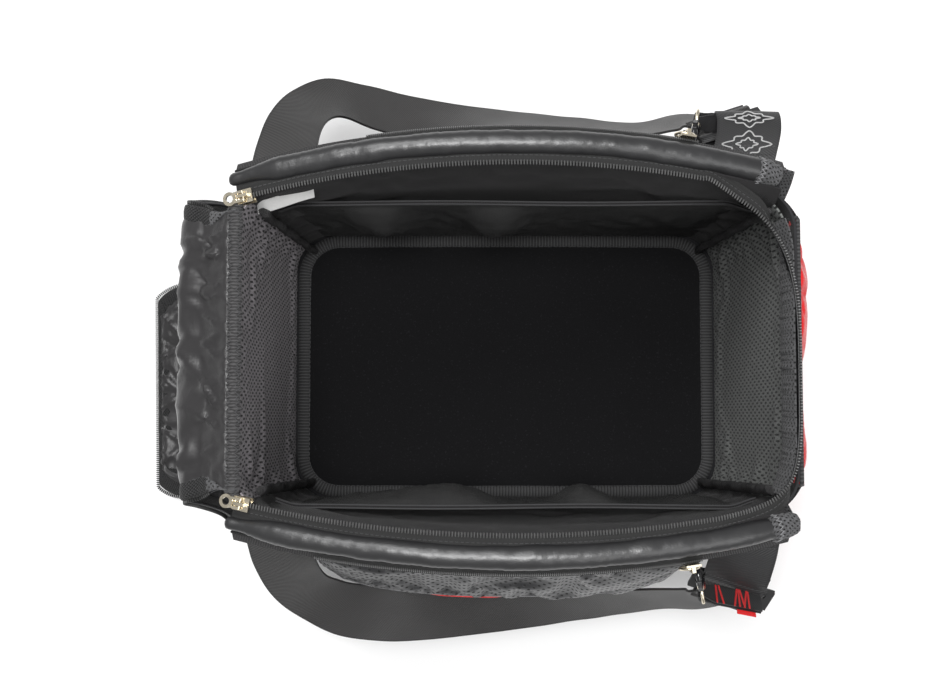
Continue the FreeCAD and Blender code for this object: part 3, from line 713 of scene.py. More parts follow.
def make_base():
    lower = [loop(189.6, 122.6, 123.6, 39.6, z) * np.array([k, k, 1]) for z, k in ((0.2, 0.985), (1.2, 0.998))]
    upper = [loop(187.4, 120.4, 121.4, 37.4, z) * np.array([k, k, 1]) for z, k in ((5.4, 1.0), (6.4, 0.99))]
    piece(disc("bottom", lower + upper, SHELL), "bag", "shell_fabric", "bottom_panel", "base_board")
    seam = loop(189.6, 122.6, 123.6, 39.6, 3.2)
    piece(tube("bottom_piping", seam, 1.3, 1.6, PLASTIC, sides=10, closed=True), "bag", "shell_fabric")
    sizes = [(k, z) for z, k in ((8.6, 0.99), (9.4, 1.0), (11.6, 1.0), (12.3, 0.985))]
    rings = [loop(171.5, 104.0, 104.6, 26.5, z) * np.array([k, k, 1]) for k, z in sizes]
    pad = piece(disc("floor_felt_pad", rings, FELT, 0.35), "bag", "floor_felt", "floor_pad")
    path = loop(175.4, 108.9, 109.5, 30.4, 10.7, 300)
    dips = ripple(path[:, 0], path[:, 1], 60, 5)[:, None] * np.array([0, 0, 0.35])
    piece(tube("floor_pad_edge", path + dips, 5.6, 2.5, RIBBED, sides=16, closed=True), "bag", "grosgrain",
          "floor_pad_binding")
    inner = loop(170.6, 104.1, 104.7, 25.6, 12.9, 300)
    piece(repeated("floor_pad_stitches", inner, (0, 0, 1), 4.2, bead(2.8, 0.7, 0.7), DARK_THREAD), "bag", "grosgrain")


# ---------------------------------------------------------------- walls

def make_walls():
    for name, side in SIDES:
        rows = relaxed(long_grid(22, 46, 1.0, 1.0, -1.0), edges_held(22, 46, soft=3), 0.012, cap=2.5, frames=10, seed=4,
                       reach=(-2.5, 0.8))
        skirt = rows[-1:] + (rim(rows[-1:, :, 0], 13.0, -4.5) - rows[-1:]) * np.linspace(0.25, 1, 4)[:, None, None]
        rows = mirrored(np.concatenate([rows, skirt]), side)
        wall = piece(cloth(name + "_outer_cloth", rows, 1.6, SHELL), "bag", "shell_fabric", name + "_wall",
                     *(["wall_foam"] if side < 0 else []))
        sheet(wall, rests_on=[name + "_rim_leather"])
        rows = relaxed(long_grid(22, 46, 8.2, 6.0, 4.0), edges_held(22, 46, soft=3), 0.016, cap=3.0, frames=12, seed=8,
                       reach=(-1.2, 3.0))
        skirt = rows[-1:] + (rim(rows[-1:, :, 0], 5.4, -1.4) - rows[-1:]) * np.linspace(0.2, 1, 5)[:, None, None]
        rows = mirrored(np.concatenate([rows, skirt]), side)
        lining = piece(cloth(name + "_inner_cloth", rows, 1.2, WALL_CLOTH), "bag", "wall_lining_fabric",
                       name + "_lining")
        sheet(lining, rests_on=[name + "_rim_leather"])
    # Each end wall gets its own copy of the grey mesh: painted light on the left, painted shade on the right.
    for name, side, knit in (("left", -1, KNIT_LEFT_LIT), ("right", 1, KNIT_RIGHT_SHADED)):
        flip = np.array([side, 1.0, 1.0])
        outer = relaxed(end_grid(24, 34, 1.0, 1.0, 0.0), edges_held(24, 34, soft=3), 0.012, cap=2.5, frames=10, seed=6,
                        reach=(-2.5, 0.8))
        outer = outer * flip
        wall = piece(cloth(name + "_outer_cloth", outer, 1.6, SHELL), "bag", "shell_fabric", name + "_wall")
        sheet(wall, rests_on=["front_rim_leather"])
        rows = end_grid(26, 34, 8.2, 6.0, 4.5)
        rows = relaxed(rows, edges_held(26, 34, soft=2), 0.032, -0.6, cap=5.0, frames=16, seed=11 + side,
                       reach=(-1.2, 5.5))
        if side < 0:
            above = rows[-1:] + np.array([1.0, 0, 13.5]) * np.linspace(0.15, 1, 6)[:, None, None]
            rows = np.concatenate([rows, above])
        lining = piece(cloth(name + "_inner_mesh", rows * flip, 1.4, knit), "bag", "grey_mesh", name + "_lining")
        sheet(lining, rests_on=["front_rim_leather"])
    for sx in (-1, 1):
        for name, side in SIDES:
            z = np.linspace(13, 246, 70)
            path = np.stack([sx * np.interp(z, (13, 246), (168.6, 170.2)),
                             np.interp(z, (13, 246), (-101.5, -93.5)) * -side, z], 1)
            path[:, 0] += 0.9 * np.sin(z / 9.0)
            seam = tube(f"{name}_corner_binding_{'left' if sx < 0 else 'right'}", path, 4.4, 2.8, ELASTIC,
                        up=(-sx, side, 0), bumps=lambda r: 0.7 * ripple(r[..., 0] * 3, r[..., 2], 7, 9))
            piece(seam, "bag", "grosgrain", *(["corner_bindings"] if sx < 0 and side < 0 else []))
            z = np.linspace(2, 246, 60)
            outer = end_wall(2 - corner_turn(z, 0) + 0 * z, z, -0.6) * np.array([sx, -side, 1])
            piece(tube(f"{name}_corner_piping_{'left' if sx < 0 else 'right'}", outer, 1.5, 1.5, RIBBED,
                       up=(sx, 0, 0.1), sides=8), "bag", "shell_fabric")
    a, b = plane_grid(-20, 20, 22, -5.5, 5.5, 9)
    turn = math.radians(16)
    tag = np.stack([-156 + a * math.cos(turn), 103.8 + a * math.sin(turn) + 0.5 * np.sin(a / 9) + 0.62 * b,
                    240 + b * 0.78], 2)
    piece(cloth("blank_label", tag, 0.45, LABEL), "bag", "label_fabric", "label")


# ---------------------------------------------------------------- rim

def zip_path():
    """The zip's teeth all the way round: front rim, right end, back rim."""
    front = rim(np.linspace(-184, 132, 60))
    back = rim(np.linspace(128, -184, 58), side=1)
    bend = [(153, -104.6, 268.4), (170, -97.0, 265.0), (182, -83, 262.6), (187, -60, 261.4), (188, -20, 260.8),
            (187.6, 20, 260.9), (184.5, 46, 261.6), (177, 68, 263.2), (163, 87, 266), (146, 99.5, 268.9)]
    return curve(np.concatenate([front, bend, back]), 2600)


def zip_out(path):
    """Direction from the teeth to where their tape is sewn."""
    along = ends(path, (0, 0, 1))[0]
    side = -np.sign(path[:, 1])[:, None] * np.array([0, -1.0, 0])
    end = smoothstep((path[:, 0] - 150) / 34)[:, None] * smoothstep((104 - abs(path[:, 1])) / 30)[:, None]
    out = side * (1 - end) + np.array([0.12, 0, -1.0]) * end + np.array([0, 0, -0.15])
    out -= along * (out * along).sum(1, keepdims=True)
    return out / np.linalg.norm(out, axis=1, keepdims=True)


def make_rim():
    path = evenly(zip_path(), 1.5)[0]
    out = zip_out(path)
    up = np.cross(out, ends(path, (0, 0, 1))[0])
    up *= np.sign(up[:, 2] + up[:, 0] * 0.3)[:, None]
    tooth = bead(3.4, 1.1, 2.2)
    # Teeth in the lighter colour that carries the painted glint.
    teeth = repeated("zip_teeth", path + up * 0.5, up, 2.0, tooth, COIL, turn=90)
    piece(teeth, "bag", "zip_coil", "main_zip_teeth")
    # The coil's cord, made black so that it draws a painted shadow line along the teeth.
    cord = tube("zip_teeth_cord_shadow", path + out * 1.5 - up * 0.5, 0.7, 0.7, PLASTIC, sides=8)
    piece(cord, "bag", "zip_tape")
    steps = np.array([0.6, 2.2, 4.0, 6.0, 8.4, 10.4])[None, :, None]
    wavy = (0.25 * np.sin(lengths(path) / 7.0))[:, None, None] * steps / 8
    rows = path[:, None] + out[:, None] * steps + up[:, None] * wavy
    tape = piece(cloth("zip_tape_cloth", rows, 0.7, TAPE), "bag", "zip_tape", "main_zip_tape")
    sheet(tape, rests_on=["front_rim_leather"])
    stitch_line = path + out * 5.0 + up * 0.45
    piece(repeated("zip_tape_stitches", stitch_line, up, 3.4, bead(2.3, 0.55, 0.5), DARK_THREAD), "bag", "zip_tape")
    for name, side in SIDES:
        x = np.linspace(-184, 172 if side < 0 else 164, 190)
        thin = 1 - 0.42 * smoothstep((-150 - x) / 34) - 0.1 * smoothstep((x - 155) / 12)
        path = rim(x, 13.9 + 1.0 * (1 - thin), -2.0 + 0.2 * np.sin(x / 17), side)
        roll = tube(name + "_rim_leather", path, 7.9 * thin, 7.1 * thin, RIM, sides=26,
                    bumps=lambda r: 0.5 * ripple(r[..., 0], r[..., 2] + r[..., 1], 38, 21)
                    + 0.16 * ripple(r[..., 0] * 1.5, r[..., 1], 9, 22))
        piece(roll, "bag", "rim_leatherette", name + "_rim_roll")
        x = np.linspace(-184, 178, 170)
        step = np.linspace(0, 1, 7)[None, :]
        flap = rim(x[:, None], 17.5 + 8.5 * step, -5.2 - 6.6 * step**1.3 + 0.25 * np.sin(x[:, None] / 11), side)
        welt = piece(cloth(name + "_rim_welt", flap, 1.0, ELASTIC), "bag", "shell_fabric")
        sheet(welt, rests_on=[name + "_rim_leather"])
        line = rim(x, 20.6, -6.0, side)
        piece(tube(name + "_rim_welt_cord", line, 0.9, 0.9, TAPE, sides=8), "bag", "shell_fabric")
        first, last = (166, 180) if side < 0 else (158, 171)
        x = np.linspace(first, last, 24)
        path = rim(x, 13.6, -2.4, side)
        size = 8.7 - 1.6 * smoothstep((x - first - 5) / 9)
        patch = tube(name + "_corner_patch", path, size, size * 0.95, KNIT_PATCH, sides=26, nose=0.55,
                     bumps=lambda r: 0.45 * ripple(r[..., 0], r[..., 1], 9, 31))
        piece(patch, "bag", "grey_mesh", *(["rim_corner_patches"] if side < 0 else []))
        turn = np.linspace(-1.4, 3.6, 60)
        ring = rim(first + 0.4 + 1.0 * np.sin(turn), 13.6 + np.cos(turn) * 8.9, -2.4 + np.sin(turn) * 8.5, side)
        away = ring - rim(np.full(60, float(first)), 13.6, -2.4, side)
        piece(repeated(name + "_corner_patch_fray", ring, away, 1.5, bead(3.4, 0.6, 0.6), GREY_THREAD, turn=58,
                       zigzag=0.4), "bag", "grey_mesh")
        f, _ = plane_grid(0, 1, 16, 0, 1, 22)
        high = mirrored(rim(np.linspace(166, 184, 22), 19.5, -4.0), side)
        z = np.full(22, 226.0)
        low = long_wall(np.linspace(1.05, 1.62, 22), z, -1.2)
        low = mirrored(low, side)
        bend = np.sin(f * math.pi)[..., None] * np.array([2.0, 2.5 * side, 0])
        skirt = high[None] * (1 - f)[..., None] + low[None] * f[..., None] + bend
        piece(cloth(name + "_corner_gusset", skirt, 1.2, KNIT_PATCH), "bag", "grey_mesh")
    inside_gathers()


def inside_gathers():
    """The gathered strip of mesh along the top of the right end, inside."""
    y = np.linspace(-96, 88, 220)
    f = np.linspace(0, 1, 12)[None, :]
    folds = (ripple(y * 2.2, 0 * y, 9, 51) * 1.1)[:, None] * np.sin(f * math.pi) ** 0.5
    edge = 2.0 * ripple(y, 0 * y, 26, 52)[:, None]
    lean = 9.0 * np.clip((abs(y) - 62) / 34, 0, 1)[:, None] ** 2
    x = 185.6 - 3.6 * f - folds - lean - 1.5 * np.sin(f * math.pi)
    rows = np.stack([x, np.repeat(y[:, None], 12, 1) * (1 - 0.02 * f), 258.2 - (20.0 + edge) * f], 2)
    strip = piece(cloth("right_gathered_strip", rows, 1.1, KNIT_PATCH), "bag", "grey_mesh")
    sheet(strip, ["right_inner_mesh"])
    piece(repeated("right_gather_stitches", rows[:, -2] + np.array([-0.9, 0, 0]), (-1, 0, 0.2), 3.2,
                   bead(3.4, 0.6, 0.6), DARK_THREAD, turn=35, zigzag=0.3), "bag", "grey_mesh")


# ---------------------------------------------------------------- lid

LID_RADIUS = (187.0**2 + 24.0**2) / 48.0
LID_BASE = 286.0 - LID_RADIUS
FOLD_X = (-184.0, -134.0, 80.0)
FOLD_SKEW = (0.0, -6.0, -10.0)
FOLD_TURN = (194.9, 79.5, -73.7)
FOLD_SOFT = (7.0, 17.0, 16.0)
SPLITS = (-159.0, -27.0)


def lid_height(x):
    return LID_BASE + np.sqrt(LID_RADIUS**2 - np.square(x))


def lid_half_width(x, inset):
    """Half the lid's width at x, when it is closed."""
    width = 119.5 - 20.5 * (x / 157.0) ** 2 - inset
    tip = np.clip(x - 157, 0, 30 - inset)
    width = np.where(x > 157, 69 + np.sqrt(np.maximum((30 - inset) ** 2 - tip**2, 0)), width)
    return np.where(x < -150, width * (1 - smoothstep((-150 - x) / 30)) + 92 * smoothstep((-150 - x) / 30), width)


def swung(x, y, lift, skews):
    """A point of the closed lid after its three folds turn. lift is above its middle surface."""
    angle = np.arcsin(x / LID_RADIUS)
    p = np.stack([(LID_RADIUS + lift) * np.sin(angle), y, LID_BASE + (LID_RADIUS + lift) * np.cos(angle)], -1)
    for k in (2, 1, 0):
        skew = math.radians(skews[k])
        d = (x - FOLD_X[k]) * math.cos(skew) - y * math.sin(skew)
        weight = smoothstep(d / FOLD_SOFT[k]) if k == 0 else smoothstep(d / FOLD_SOFT[k] / 2 + 0.5)
        turn = -np.radians(FOLD_TURN[k]) * weight
        axis = np.array([math.sin(skew), math.cos(skew), 0])
        v = p - np.array([FOLD_X[k], 0, lid_height(FOLD_X[k])])
        c, s = np.cos(turn)[..., None], np.sin(turn)[..., None]
        v = v * c + np.cross(axis, v) * s + axis * (v @ axis)[..., None] * (1 - c)
        p = v + np.array([FOLD_X[k], 0, lid_height(FOLD_X[k])])
    return p


def opened(x, y, lift):
    """Where a point of the closed lid lies when it hangs open. The roll over the end wall is straight."""
    x, y, lift = np.broadcast_arrays(np.asarray(x, float), y, lift)
    flap = smoothstep((x - 30) / 80)
    y = y * (1 - 0.03 * flap) + 2.0 * flap
    down = smoothstep((x + 120) / 150)[..., None]
    p = swung(x, y, lift, (0.0, 0.0, FOLD_SKEW[2])) * (1 - down) + swung(x, y, lift, FOLD_SKEW) * down
    roll = smoothstep((x + 176) / 36) * (1 - smoothstep((x + 70) / 120))
    p[..., 0] += flap * (5.0 + 0.055 * (y + 25)) + 7.0 * roll
    return p


def lid_plan(inset, n, m):
    """Closed-lid x and y of a grid over the lid."""
    x = np.concatenate([np.linspace(-183.6, 157, n - 10)[:-1], 157 + (30 - inset) * np.sin(np.linspace(0, 1.52, 11))])
    y = np.linspace(-1, 1, m)[None, :] * lid_half_width(x, inset)[:, None]
    return np.repeat(x[:, None], m, 1), y


def lid_joints():
    """(body before, body after, start, end) of each of the lid's three soft folds."""
    folds = []
    middle = [opened(np.array(x), np.array(0.0), 0.0) for x in (-184, -159, -27, 130)]
    bodies = ("bag", "lid_a", "lid_b", "lid_c")
    for k in range(3):
        skew = math.radians(FOLD_SKEW[k])
        p = np.array([FOLD_X[k], 0, lid_height(FOLD_X[k])])
        axis = np.array([math.sin(skew), math.cos(skew), 0])
        for j in range(k - 1, -1, -1):
            base = np.array([FOLD_X[j], 0, lid_height(FOLD_X[j])])
            about = np.array([math.sin(math.radians(FOLD_SKEW[j])), math.cos(math.radians(FOLD_SKEW[j])), 0])
            turn = -math.radians(FOLD_TURN[j])

            def spun(v):
                return (v * math.cos(turn) + np.cross(about, v) * math.sin(turn)
                        + about * (v @ about) * (1 - math.cos(turn)))

            p, axis = base + spun(p - base), spun(axis)
        before = middle[k] - p if k else np.array([8.0, 0, 14.0])
        after = middle[k + 1] - p
        before, after = (v / np.linalg.norm(v) * (9.0 if k == 0 else 16.0) for v in (before, after))
        if k == 0:
            before = before * 0.0
        chord = after - before
        chord -= axis * (chord @ axis)
        folds.append((bodies[k], bodies[k + 1], p + before, p + before + chord))
    return folds


def satin_creases(x, y):
    """0 to about 1: creases that run out from the sewn edges at slants, and widen as they fade."""
    dice = np.random.default_rng(12)
    total = 0 * x
    lines = [(x + 176, y, start) for start in np.arange(-100, 101, 13.0)]
    lines += [(184 - x, y, start) for start in np.arange(-80, 81, 17.0)]
    lines += [(112 - side * y, x, start) for side in (-1, 1) for start in np.arange(-165, 166, 24.0)]
    for run, across, start in lines:
        slope, phase = dice.uniform(-0.95, 0.95), dice.uniform(0, 6)
        reach, size = dice.uniform(34, 80), dice.uniform(0.5, 1.0)
        away = across - (start + dice.uniform(-5, 5) + slope * run + 3.0 * np.sin(run / 15 + phase))
        ridge = np.exp(-np.abs(away / (1.5 + 0.060 * np.maximum(run, 0))) ** 1.4)
        total = total + size * ridge * smoothstep(run / 7) * (1 - smoothstep(run / reach))
    return np.clip(total, 0, 1.5)


def make_lid():
    n, m = 74, 44
    joints = lid_joints()
    x, y = lid_plan(8.0, n, m)
    hold = np.clip(edges_held(n, m, 2, 2, 2, soft=2), 0, 1)
    edge = np.clip(np.minimum(110 - abs(y) + (lid_half_width(x, 8.0) - 110), 190 - x) / 14, 0, 1)
    puff = -1.0 - 1.6 * smoothstep(edge)
    satin_rows = relaxed(opened(x, y, puff), hold, 0.06, -0.3, cap=7.0, frames=22, seed=17, reach=(-4.5, 0.6))
    flat = finer(np.stack([x, y, edge], 2))
    creases = smoothstep(flat[..., 2]) * satin_creases(flat[..., 0], flat[..., 1])
    satin_rows = finer(satin_rows - normals(satin_rows) * (3.8 * creases)[..., None], 1)
    shell_rows = relaxed(opened(x, y, 0.6 + 1.5 * smoothstep(edge)), hold, 0.02, cap=2.5, frames=10, seed=19,
                         reach=(-0.8, 2.5))
    splits = [0, *[int(np.argmin(abs(finer(x[..., None].repeat(3, 2))[:, 43, 0] - s))) for s in SPLITS], 2 * n - 2]
    layers = (("satin", satin_rows, 0.9, SATIN, "satin_lining", "lid_lining"),
              ("cover", shell_rows, 1.3, LID_SHELL, "shell_fabric", "lid_shell"))
    for label, rows, thick, material, slot, node in layers:
        uv = flat_map(rows)
        for k, letter in enumerate("abc"):
            part = slice(splits[k], splits[k + 1] + 1)
            obj = cloth(f"lid_{label}_{letter}", rows[part], thick, material, uv=uv[part])
            piece(obj, joints[k][:2], slot, f"{node}_{letter}", start=joints[k][2], end=joints[k][3])
            sheet(obj, ["floor"])
    lid_border(joints)
    hinge_strip()


def lid_border(joints):
    """Bound edge round the lid: a knitted band, its stitches, the piping and the zip's other half."""
    x, _ = lid_plan(8.0, 190, 3)
    x = x[:, 0]
    arc = np.concatenate([x, np.full(40, x[-1]), x[::-1]])

    def edge(inset):
        half = lid_half_width(np.minimum(x, 157 + 30 - inset - 0.01), inset)
        far = np.linspace(-half[-1], half[-1], 42)[1:-1]
        stretched = np.where(x > 157, 157 + (x - 157) * (30 - inset) / 22.0, x)
        return (np.concatenate([stretched, np.full(40, 187 - inset), stretched[::-1]]),
                np.concatenate([-half, far, half[::-1]]))

    insets = (4.9, 6.5, 9.0, 12.0, 15.0, 17.5)
    scallop = 0.5 * np.sin(np.arange(len(arc)) / 2.1)
    band = np.stack([opened(*edge(d), -1.9 - 0.9 * math.sin(k / 5 * math.pi) - 0.25 * scallop)
                     for k, d in enumerate(insets)], 1)
    lower = np.stack([opened(*edge(d), 1.9 + 0.5 * math.sin(k / 3 * math.pi))
                      for k, d in enumerate((4.9, 6.5, 9, 12))], 1)
    turn = opened(*edge(4.2), 0.0)[:, None]
    band = np.concatenate([lower[:, ::-1], turn, band], 1)
    coil = opened(*edge(2.6), 0.0)
    line = opened(*edge(15.8), -2.7)
    piping = opened(*edge(4.0), 3.0)
    runs = []
    at = np.where(np.arange(len(arc)) < len(x), 0, 1)
    for k, letter in enumerate("abc"):
        low, high = ((-200, -159), (-159, -27), (-27, 999))[k]
        inside = (arc >= low - 1e-6) & (arc <= high + 1e-6)
        groups = [inside & (at == 0), inside & (at == 1)] if k < 2 else [inside]
        for g, mask in enumerate(groups):
            index = np.flatnonzero(mask)
            if k < 2:
                index = np.concatenate([index, [index[-1] + 1]]) if g == 0 else np.concatenate([[index[0] - 1], index])
            runs.append((k, f"{letter}{g}", index))
    for k, label, index in runs:
        blend = dict(start=joints[k][2], end=joints[k][3])
        pair = joints[k][:2]
        knit = KNIT_PATCH if k == 0 else KNIT_BORDER
        piece(cloth("lid_border_" + label, band[index], 1.0, knit), pair, "shell_fabric", **blend)
        piece(repeated("lid_border_stitches_" + label, line[index], (0.0, 0.0, 1.0), 3.6, bead(2.6, 0.6, 0.6),
                       DARK_THREAD), pair, "shell_fabric", **blend)
        piece(tube("lid_piping_" + label, piping[index], 0.9, 0.9, PIPING, sides=8, up=(0.3, 0.1, 1)), pair,
              "shell_fabric", **blend)
        if k:
            up = opened(*[e[index] for e in edge(2.6)], 3.0) - coil[index]
            piece(repeated("lid_zip_teeth_" + label, coil[index], up, 1.75, bead(2.8, 1.15, 1.9), LID_COIL,
                           turn=90),
                  pair, "zip_coil", *([f"lid_zip_{'abc'[k]}"] if label.endswith("0") else []), **blend)
    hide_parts("lid_zip_a")


def hinge_strip():
    """The rough overlocked seam that joins the lid to the left end."""
    y = np.linspace(-96, 96, 180)
    f = np.linspace(0, 1, 9)[None, :]
    rough = 0.8 * ripple(y * 2, 0 * y, 10, 61)[:, None]
    x = -189.6 + 8.4 * f + rough * (0.4 + 0.6 * abs(f - 0.5) * 2) + 0 * y[:, None]
    z = 262.9 + 2.2 * np.sin(f * math.pi) + 0.5 * ripple(y[:, None] * 2.6, f * 18, 9, 62) + 0 * f
    rows = np.stack([x, np.repeat(y[:, None], 9, 1), z], 2)
    strip = piece(cloth("hinge_overlock", rows, 2.2, OVERLOCK), "bag", "grosgrain")
    sheet(strip, ["left_inner_mesh"])
    middle = rows[:, 4] + np.array([0, 0, 1.3])
    for k, shift in enumerate((-3.0, 3.0)):
        piece(repeated(f"hinge_threads_{k}", middle + np.array([shift, 0, -0.5]), (0, 0, 1), 2.3, bead(4.6, 0.7, 0.7),
                       DARK_THREAD, turn=52, zigzag=0.2), "bag", "grosgrain")
    for name, side in SIDES:
        f, g = plane_grid(0, 1, 12, 0, 1, 26)
        tab = np.stack([-189 + 16 * f - 20 * g * (1 - f) * 0.6, (92 + 15 * f - 4 * g) * side + 0 * g,
                        262.5 - 11 * g * (1 - 0.2 * f) + 2.0 * np.sin(g * 7 + f * 3)], 2)
        piece(cloth(name + "_hinge_corner_tab", tab, 1.4, KNIT_PATCH), "bag", "grey_mesh")


# ---------------------------------------------------------------- pockets

def station_rows(stations, rows_at, n):
    """Points of a bellows pocket's face: stations along it, rows down it."""
    s = np.array(stations, float)
    along = curve(s, n)
    return [rows_at(a, out) for a, out in along]


def make_pockets():
    front = ((-136, 152), (-115, 163), (-80, 170), (-30, 173.5), (30, 173.5), (80, 170), (104, 164), (120, 153))
    back = ((-104, 137), (-80, 146), (-30, 150), (30, 150), (80, 146), (104, 140), (117, 132))
    for (name, side), stations in zip(SIDES, (front, back)):
        def face(x, hem):
            top_z = 269.0 - 12.0 * (x / 133.0) ** 2
            top_y = 143.6 - 15.0 * (x / 133.0) ** 2
            return curve([(x, -top_y, top_z), (x, -(top_y * 0.5 + hem * 0.5) - 1.0, (top_z + 178) / 2 - 4),
                          (x, -hem + 0.6, 178)], 24)

        grid = np.array(station_rows(stations, face, 56))
        seed = 71 if side < 0 else 74
        rows = mirrored(relaxed(grid, edges_held(56, 24, 1, 1, 1, soft=1), 0.06, 0.25, cap=6.0, frames=18, seed=seed),
                        side)
        flap = piece(cloth(name + "_pocket_face", rows, 1.5, PERFORATED), "bag", "perforated_leatherette",
                     name + "_pocket")
        sheet(flap, rests_on=[name + "_rim_leather"])
        hem = rows[:, -1] + np.array([0, 0, -0.8])
        piece(tube(name + "_pocket_hem", hem, 1.2, 1.5, GREY_THREAD, sides=8), "bag", "perforated_leatherette")
        piece(repeated(name + "_pocket_hem_stitches", rows[:, -4], normals(rows)[:, -4] * -side, 3.4,
                       bead(2.4, 0.7, 0.7), GREY_THREAD, shift=(0, 0.9)), "bag", "perforated_leatherette")
        below = hem + np.array([0, 1.2 * side, -3.0])
        peeps = smoothstep(1.6 - abs(below[:, 0] + 33) / 26) + smoothstep(1.6 - abs(below[:, 0] - 48) / 9)
        below[:, 1] += side * (2.1 * peeps - 2.6)
        piece(tube(name + "_pocket_piping", below, 1.7, 1.7, RED, sides=8), "bag", "red_fabric")

        def lower(x, out):
            return curve([(x, -out + 0.5, 171), (x, -out + 4.5, 120), (x, -out + 13.5, 64), (x, -119.5, 36)], 22)

        grid = np.array(station_rows(stations, lower, 50))
        rows = mirrored(relaxed(grid, edges_held(50, 22, 1, 1, 1, soft=1), 0.04, 0.2, cap=4.5, frames=14, seed=seed + 1),
                        side)
        lower_cloth = piece(cloth(name + "_pocket_lower", rows, 1.5, SHELL), "bag", "shell_fabric")
        sheet(lower_cloth, rests_on=[name + "_pocket_face"])
        for k, row in ((0, 0), (1, -1)):
            top = mirrored(grid_face(stations, face, row), side)
            low = mirrored(grid_face(stations, lower, row), side)
            outer = np.concatenate([top, low])
            inner = np.stack([outer[:, 0], np.interp(outer[:, 2], (36, 270), (-121.5, -128.0)) * -side,
                              outer[:, 2]], 1)
            steps = np.linspace(0, 1, 9)[None, :, None]
            rows = outer[:, None] * (1 - steps) + inner[:, None] * steps
            rows[..., 0] += (np.sin(steps * math.pi * 2)[..., 0] * 2.5 + 0 * rows[..., 0]) * (1 if k else -1)
            piece(cloth(f"{name}_pocket_end_{k}", rows, 1.2, SHELL), "bag", "shell_fabric")
        x0, x1 = (-128 if side < 0 else -96), 118
        x = np.linspace(x0, x1, 150)
        strip = rim(x[:, None], np.array([21.9, 23.4, 25.2, 27.2])[None], np.array([-4.6, -6.2, -8.8, -11.6])[None], side)
        tape = piece(cloth(name + "_pocket_zip_tape", strip, 0.8, TAPE), "bag", "zip_tape", name + "_pocket_zip")
        sheet(tape, rests_on=[name + "_rim_welt"])
        coil = rim(x, 25.7, -7.2, side)
        # The pocket zips' teeth carry the same painted glint.
        piece(repeated(name + "_pocket_zip_coil", coil, (0, side * 0.8, 0.6), 1.3, bead(2.4, 0.8, 1.3), COIL, turn=90),
              "bag", "zip_coil")
    make_end_pocket()
    make_mesh_pockets()


def grid_face(stations, rows_at, column):
    x, out = stations[column]
    return rows_at(x, out)


def make_end_pocket():
    stations = ((-90, 194), (-74, 201.5), (-50, 199), (-25, 198), (0, 200), (35, 202.5), (65, 201.5), (90, 194))

    def face(y, out):
        return curve([(191.3, y, 249), (out - 6.5, y, 241), (out - 1.6, y, 216), (out, y, 160), (out - 3, y, 95),
                      (out - 6, y, 55), (190.5, y, 31)], 36)

    grid = np.array(station_rows(stations, face, 42))
    rows = relaxed(grid, edges_held(42, 36, 1, 1, 1, soft=1), 0.03, -0.3, cap=4.0, frames=14, seed=81)
    rows[..., 0] = np.minimum(rows[..., 0], 208.5)
    pocket = piece(cloth("end_pocket_cloth", rows, 1.5, RED), "bag", "red_fabric", "end_pocket")
    sheet(pocket, rests_on=["right_outer_cloth"])
    rim_line = np.concatenate([rows[:, 0], rows[-1, 1:], rows[::-1, -1][1:], rows[0, ::-1][1:]])
    piece(tube("end_pocket_piping", evenly(rim_line, 3)[0], 1.6, 1.6, RIBBED, sides=8, up=(1, 0.01, 0), closed=True),
          "bag", "shell_fabric")
    for name, side in SIDES:
        f, g = plane_grid(0, 1, 40, 0, 1, 12)
        z = 246 - 214 * f
        inner = np.stack([np.interp(z, (31, 55, 150, 205, 247), (189, 190, 196, 195, 191.6)), 90.5 * side + 0 * z, z], 2)
        outer = end_wall(1.72 * np.ones_like(z), z, -1.4) * np.array([1, side, 1])
        rows = inner * (1 - g)[..., None] + outer * g[..., None]
        rows[..., 0] += 2.5 * np.sin(g * math.pi)
        gusset = piece(cloth(name + "_end_net_gusset", rows, 0.9, KNIT_BORDER), "bag", "black_mesh")
        sheet(gusset, rests_on=["right_outer_cloth"])


def make_mesh_pockets():
    for name, side in SIDES:
        x = np.linspace(-158, 162, 84)[:, None]
        f = np.linspace(0, 1, 34)[None, :]
        taper = np.clip((162 - abs(x)) / 40, 0, 1)
        waves = 0.5 + 0.5 * np.sin(x / 22.0 + side + 1.6 * np.sin(x / 51.0 + side))
        belly = 13.5 * waves**1.7 * np.sin(np.clip(f * 1.35, 0, 1) * math.pi) ** 0.8 * taper
        creases = 1.2 * ripple(x * 1.7, f * 60, 22, 91 + side) * np.sin(f * math.pi)
        y = -(107.0 + 6.0 * f) + belly + creases
        rows = mirrored(np.stack([x + 0 * f, y, 200 - 180 * f + 0 * x], 2), side)
        bag_net = piece(cloth(name + "_net_pocket", rows, 0.5, NET), "bag", "black_mesh", name + "_mesh_pocket")
        sheet(bag_net, [name + "_inner_cloth"])
        x = np.linspace(-166, 170, 160)
        y = -107.2 + 6.0 * smoothstep((abs(x) - 150) / 24) + 0.5 * np.sin(x / 33.0)
        step = np.linspace(0, 1, 5)[None, :]
        band = np.stack([x[:, None] + 0 * step, y[:, None] - 0.6 * step, 208.0 - 8.4 * step + 0 * x[:, None]], 2)
        band = mirrored(band, side)
        hem = piece(cloth(name + "_net_pocket_hem", band, 2.0, ELASTIC), "bag", "grosgrain",
                    *(["mesh_pocket_elastics"] if side < 0 else []))
        sheet(hem, [name + "_inner_cloth"])
        for k, off in enumerate((-1.1, 1.1)):
            line = mirrored(np.stack([x, y + off, np.full_like(x, 208.4)], 1), side)
            piece(tube(f"{name}_net_pocket_edge_{k}", line, 0.55, 0.5, DARK_THREAD, sides=6), "bag", "grosgrain")


# ---------------------------------------------------------------- straps

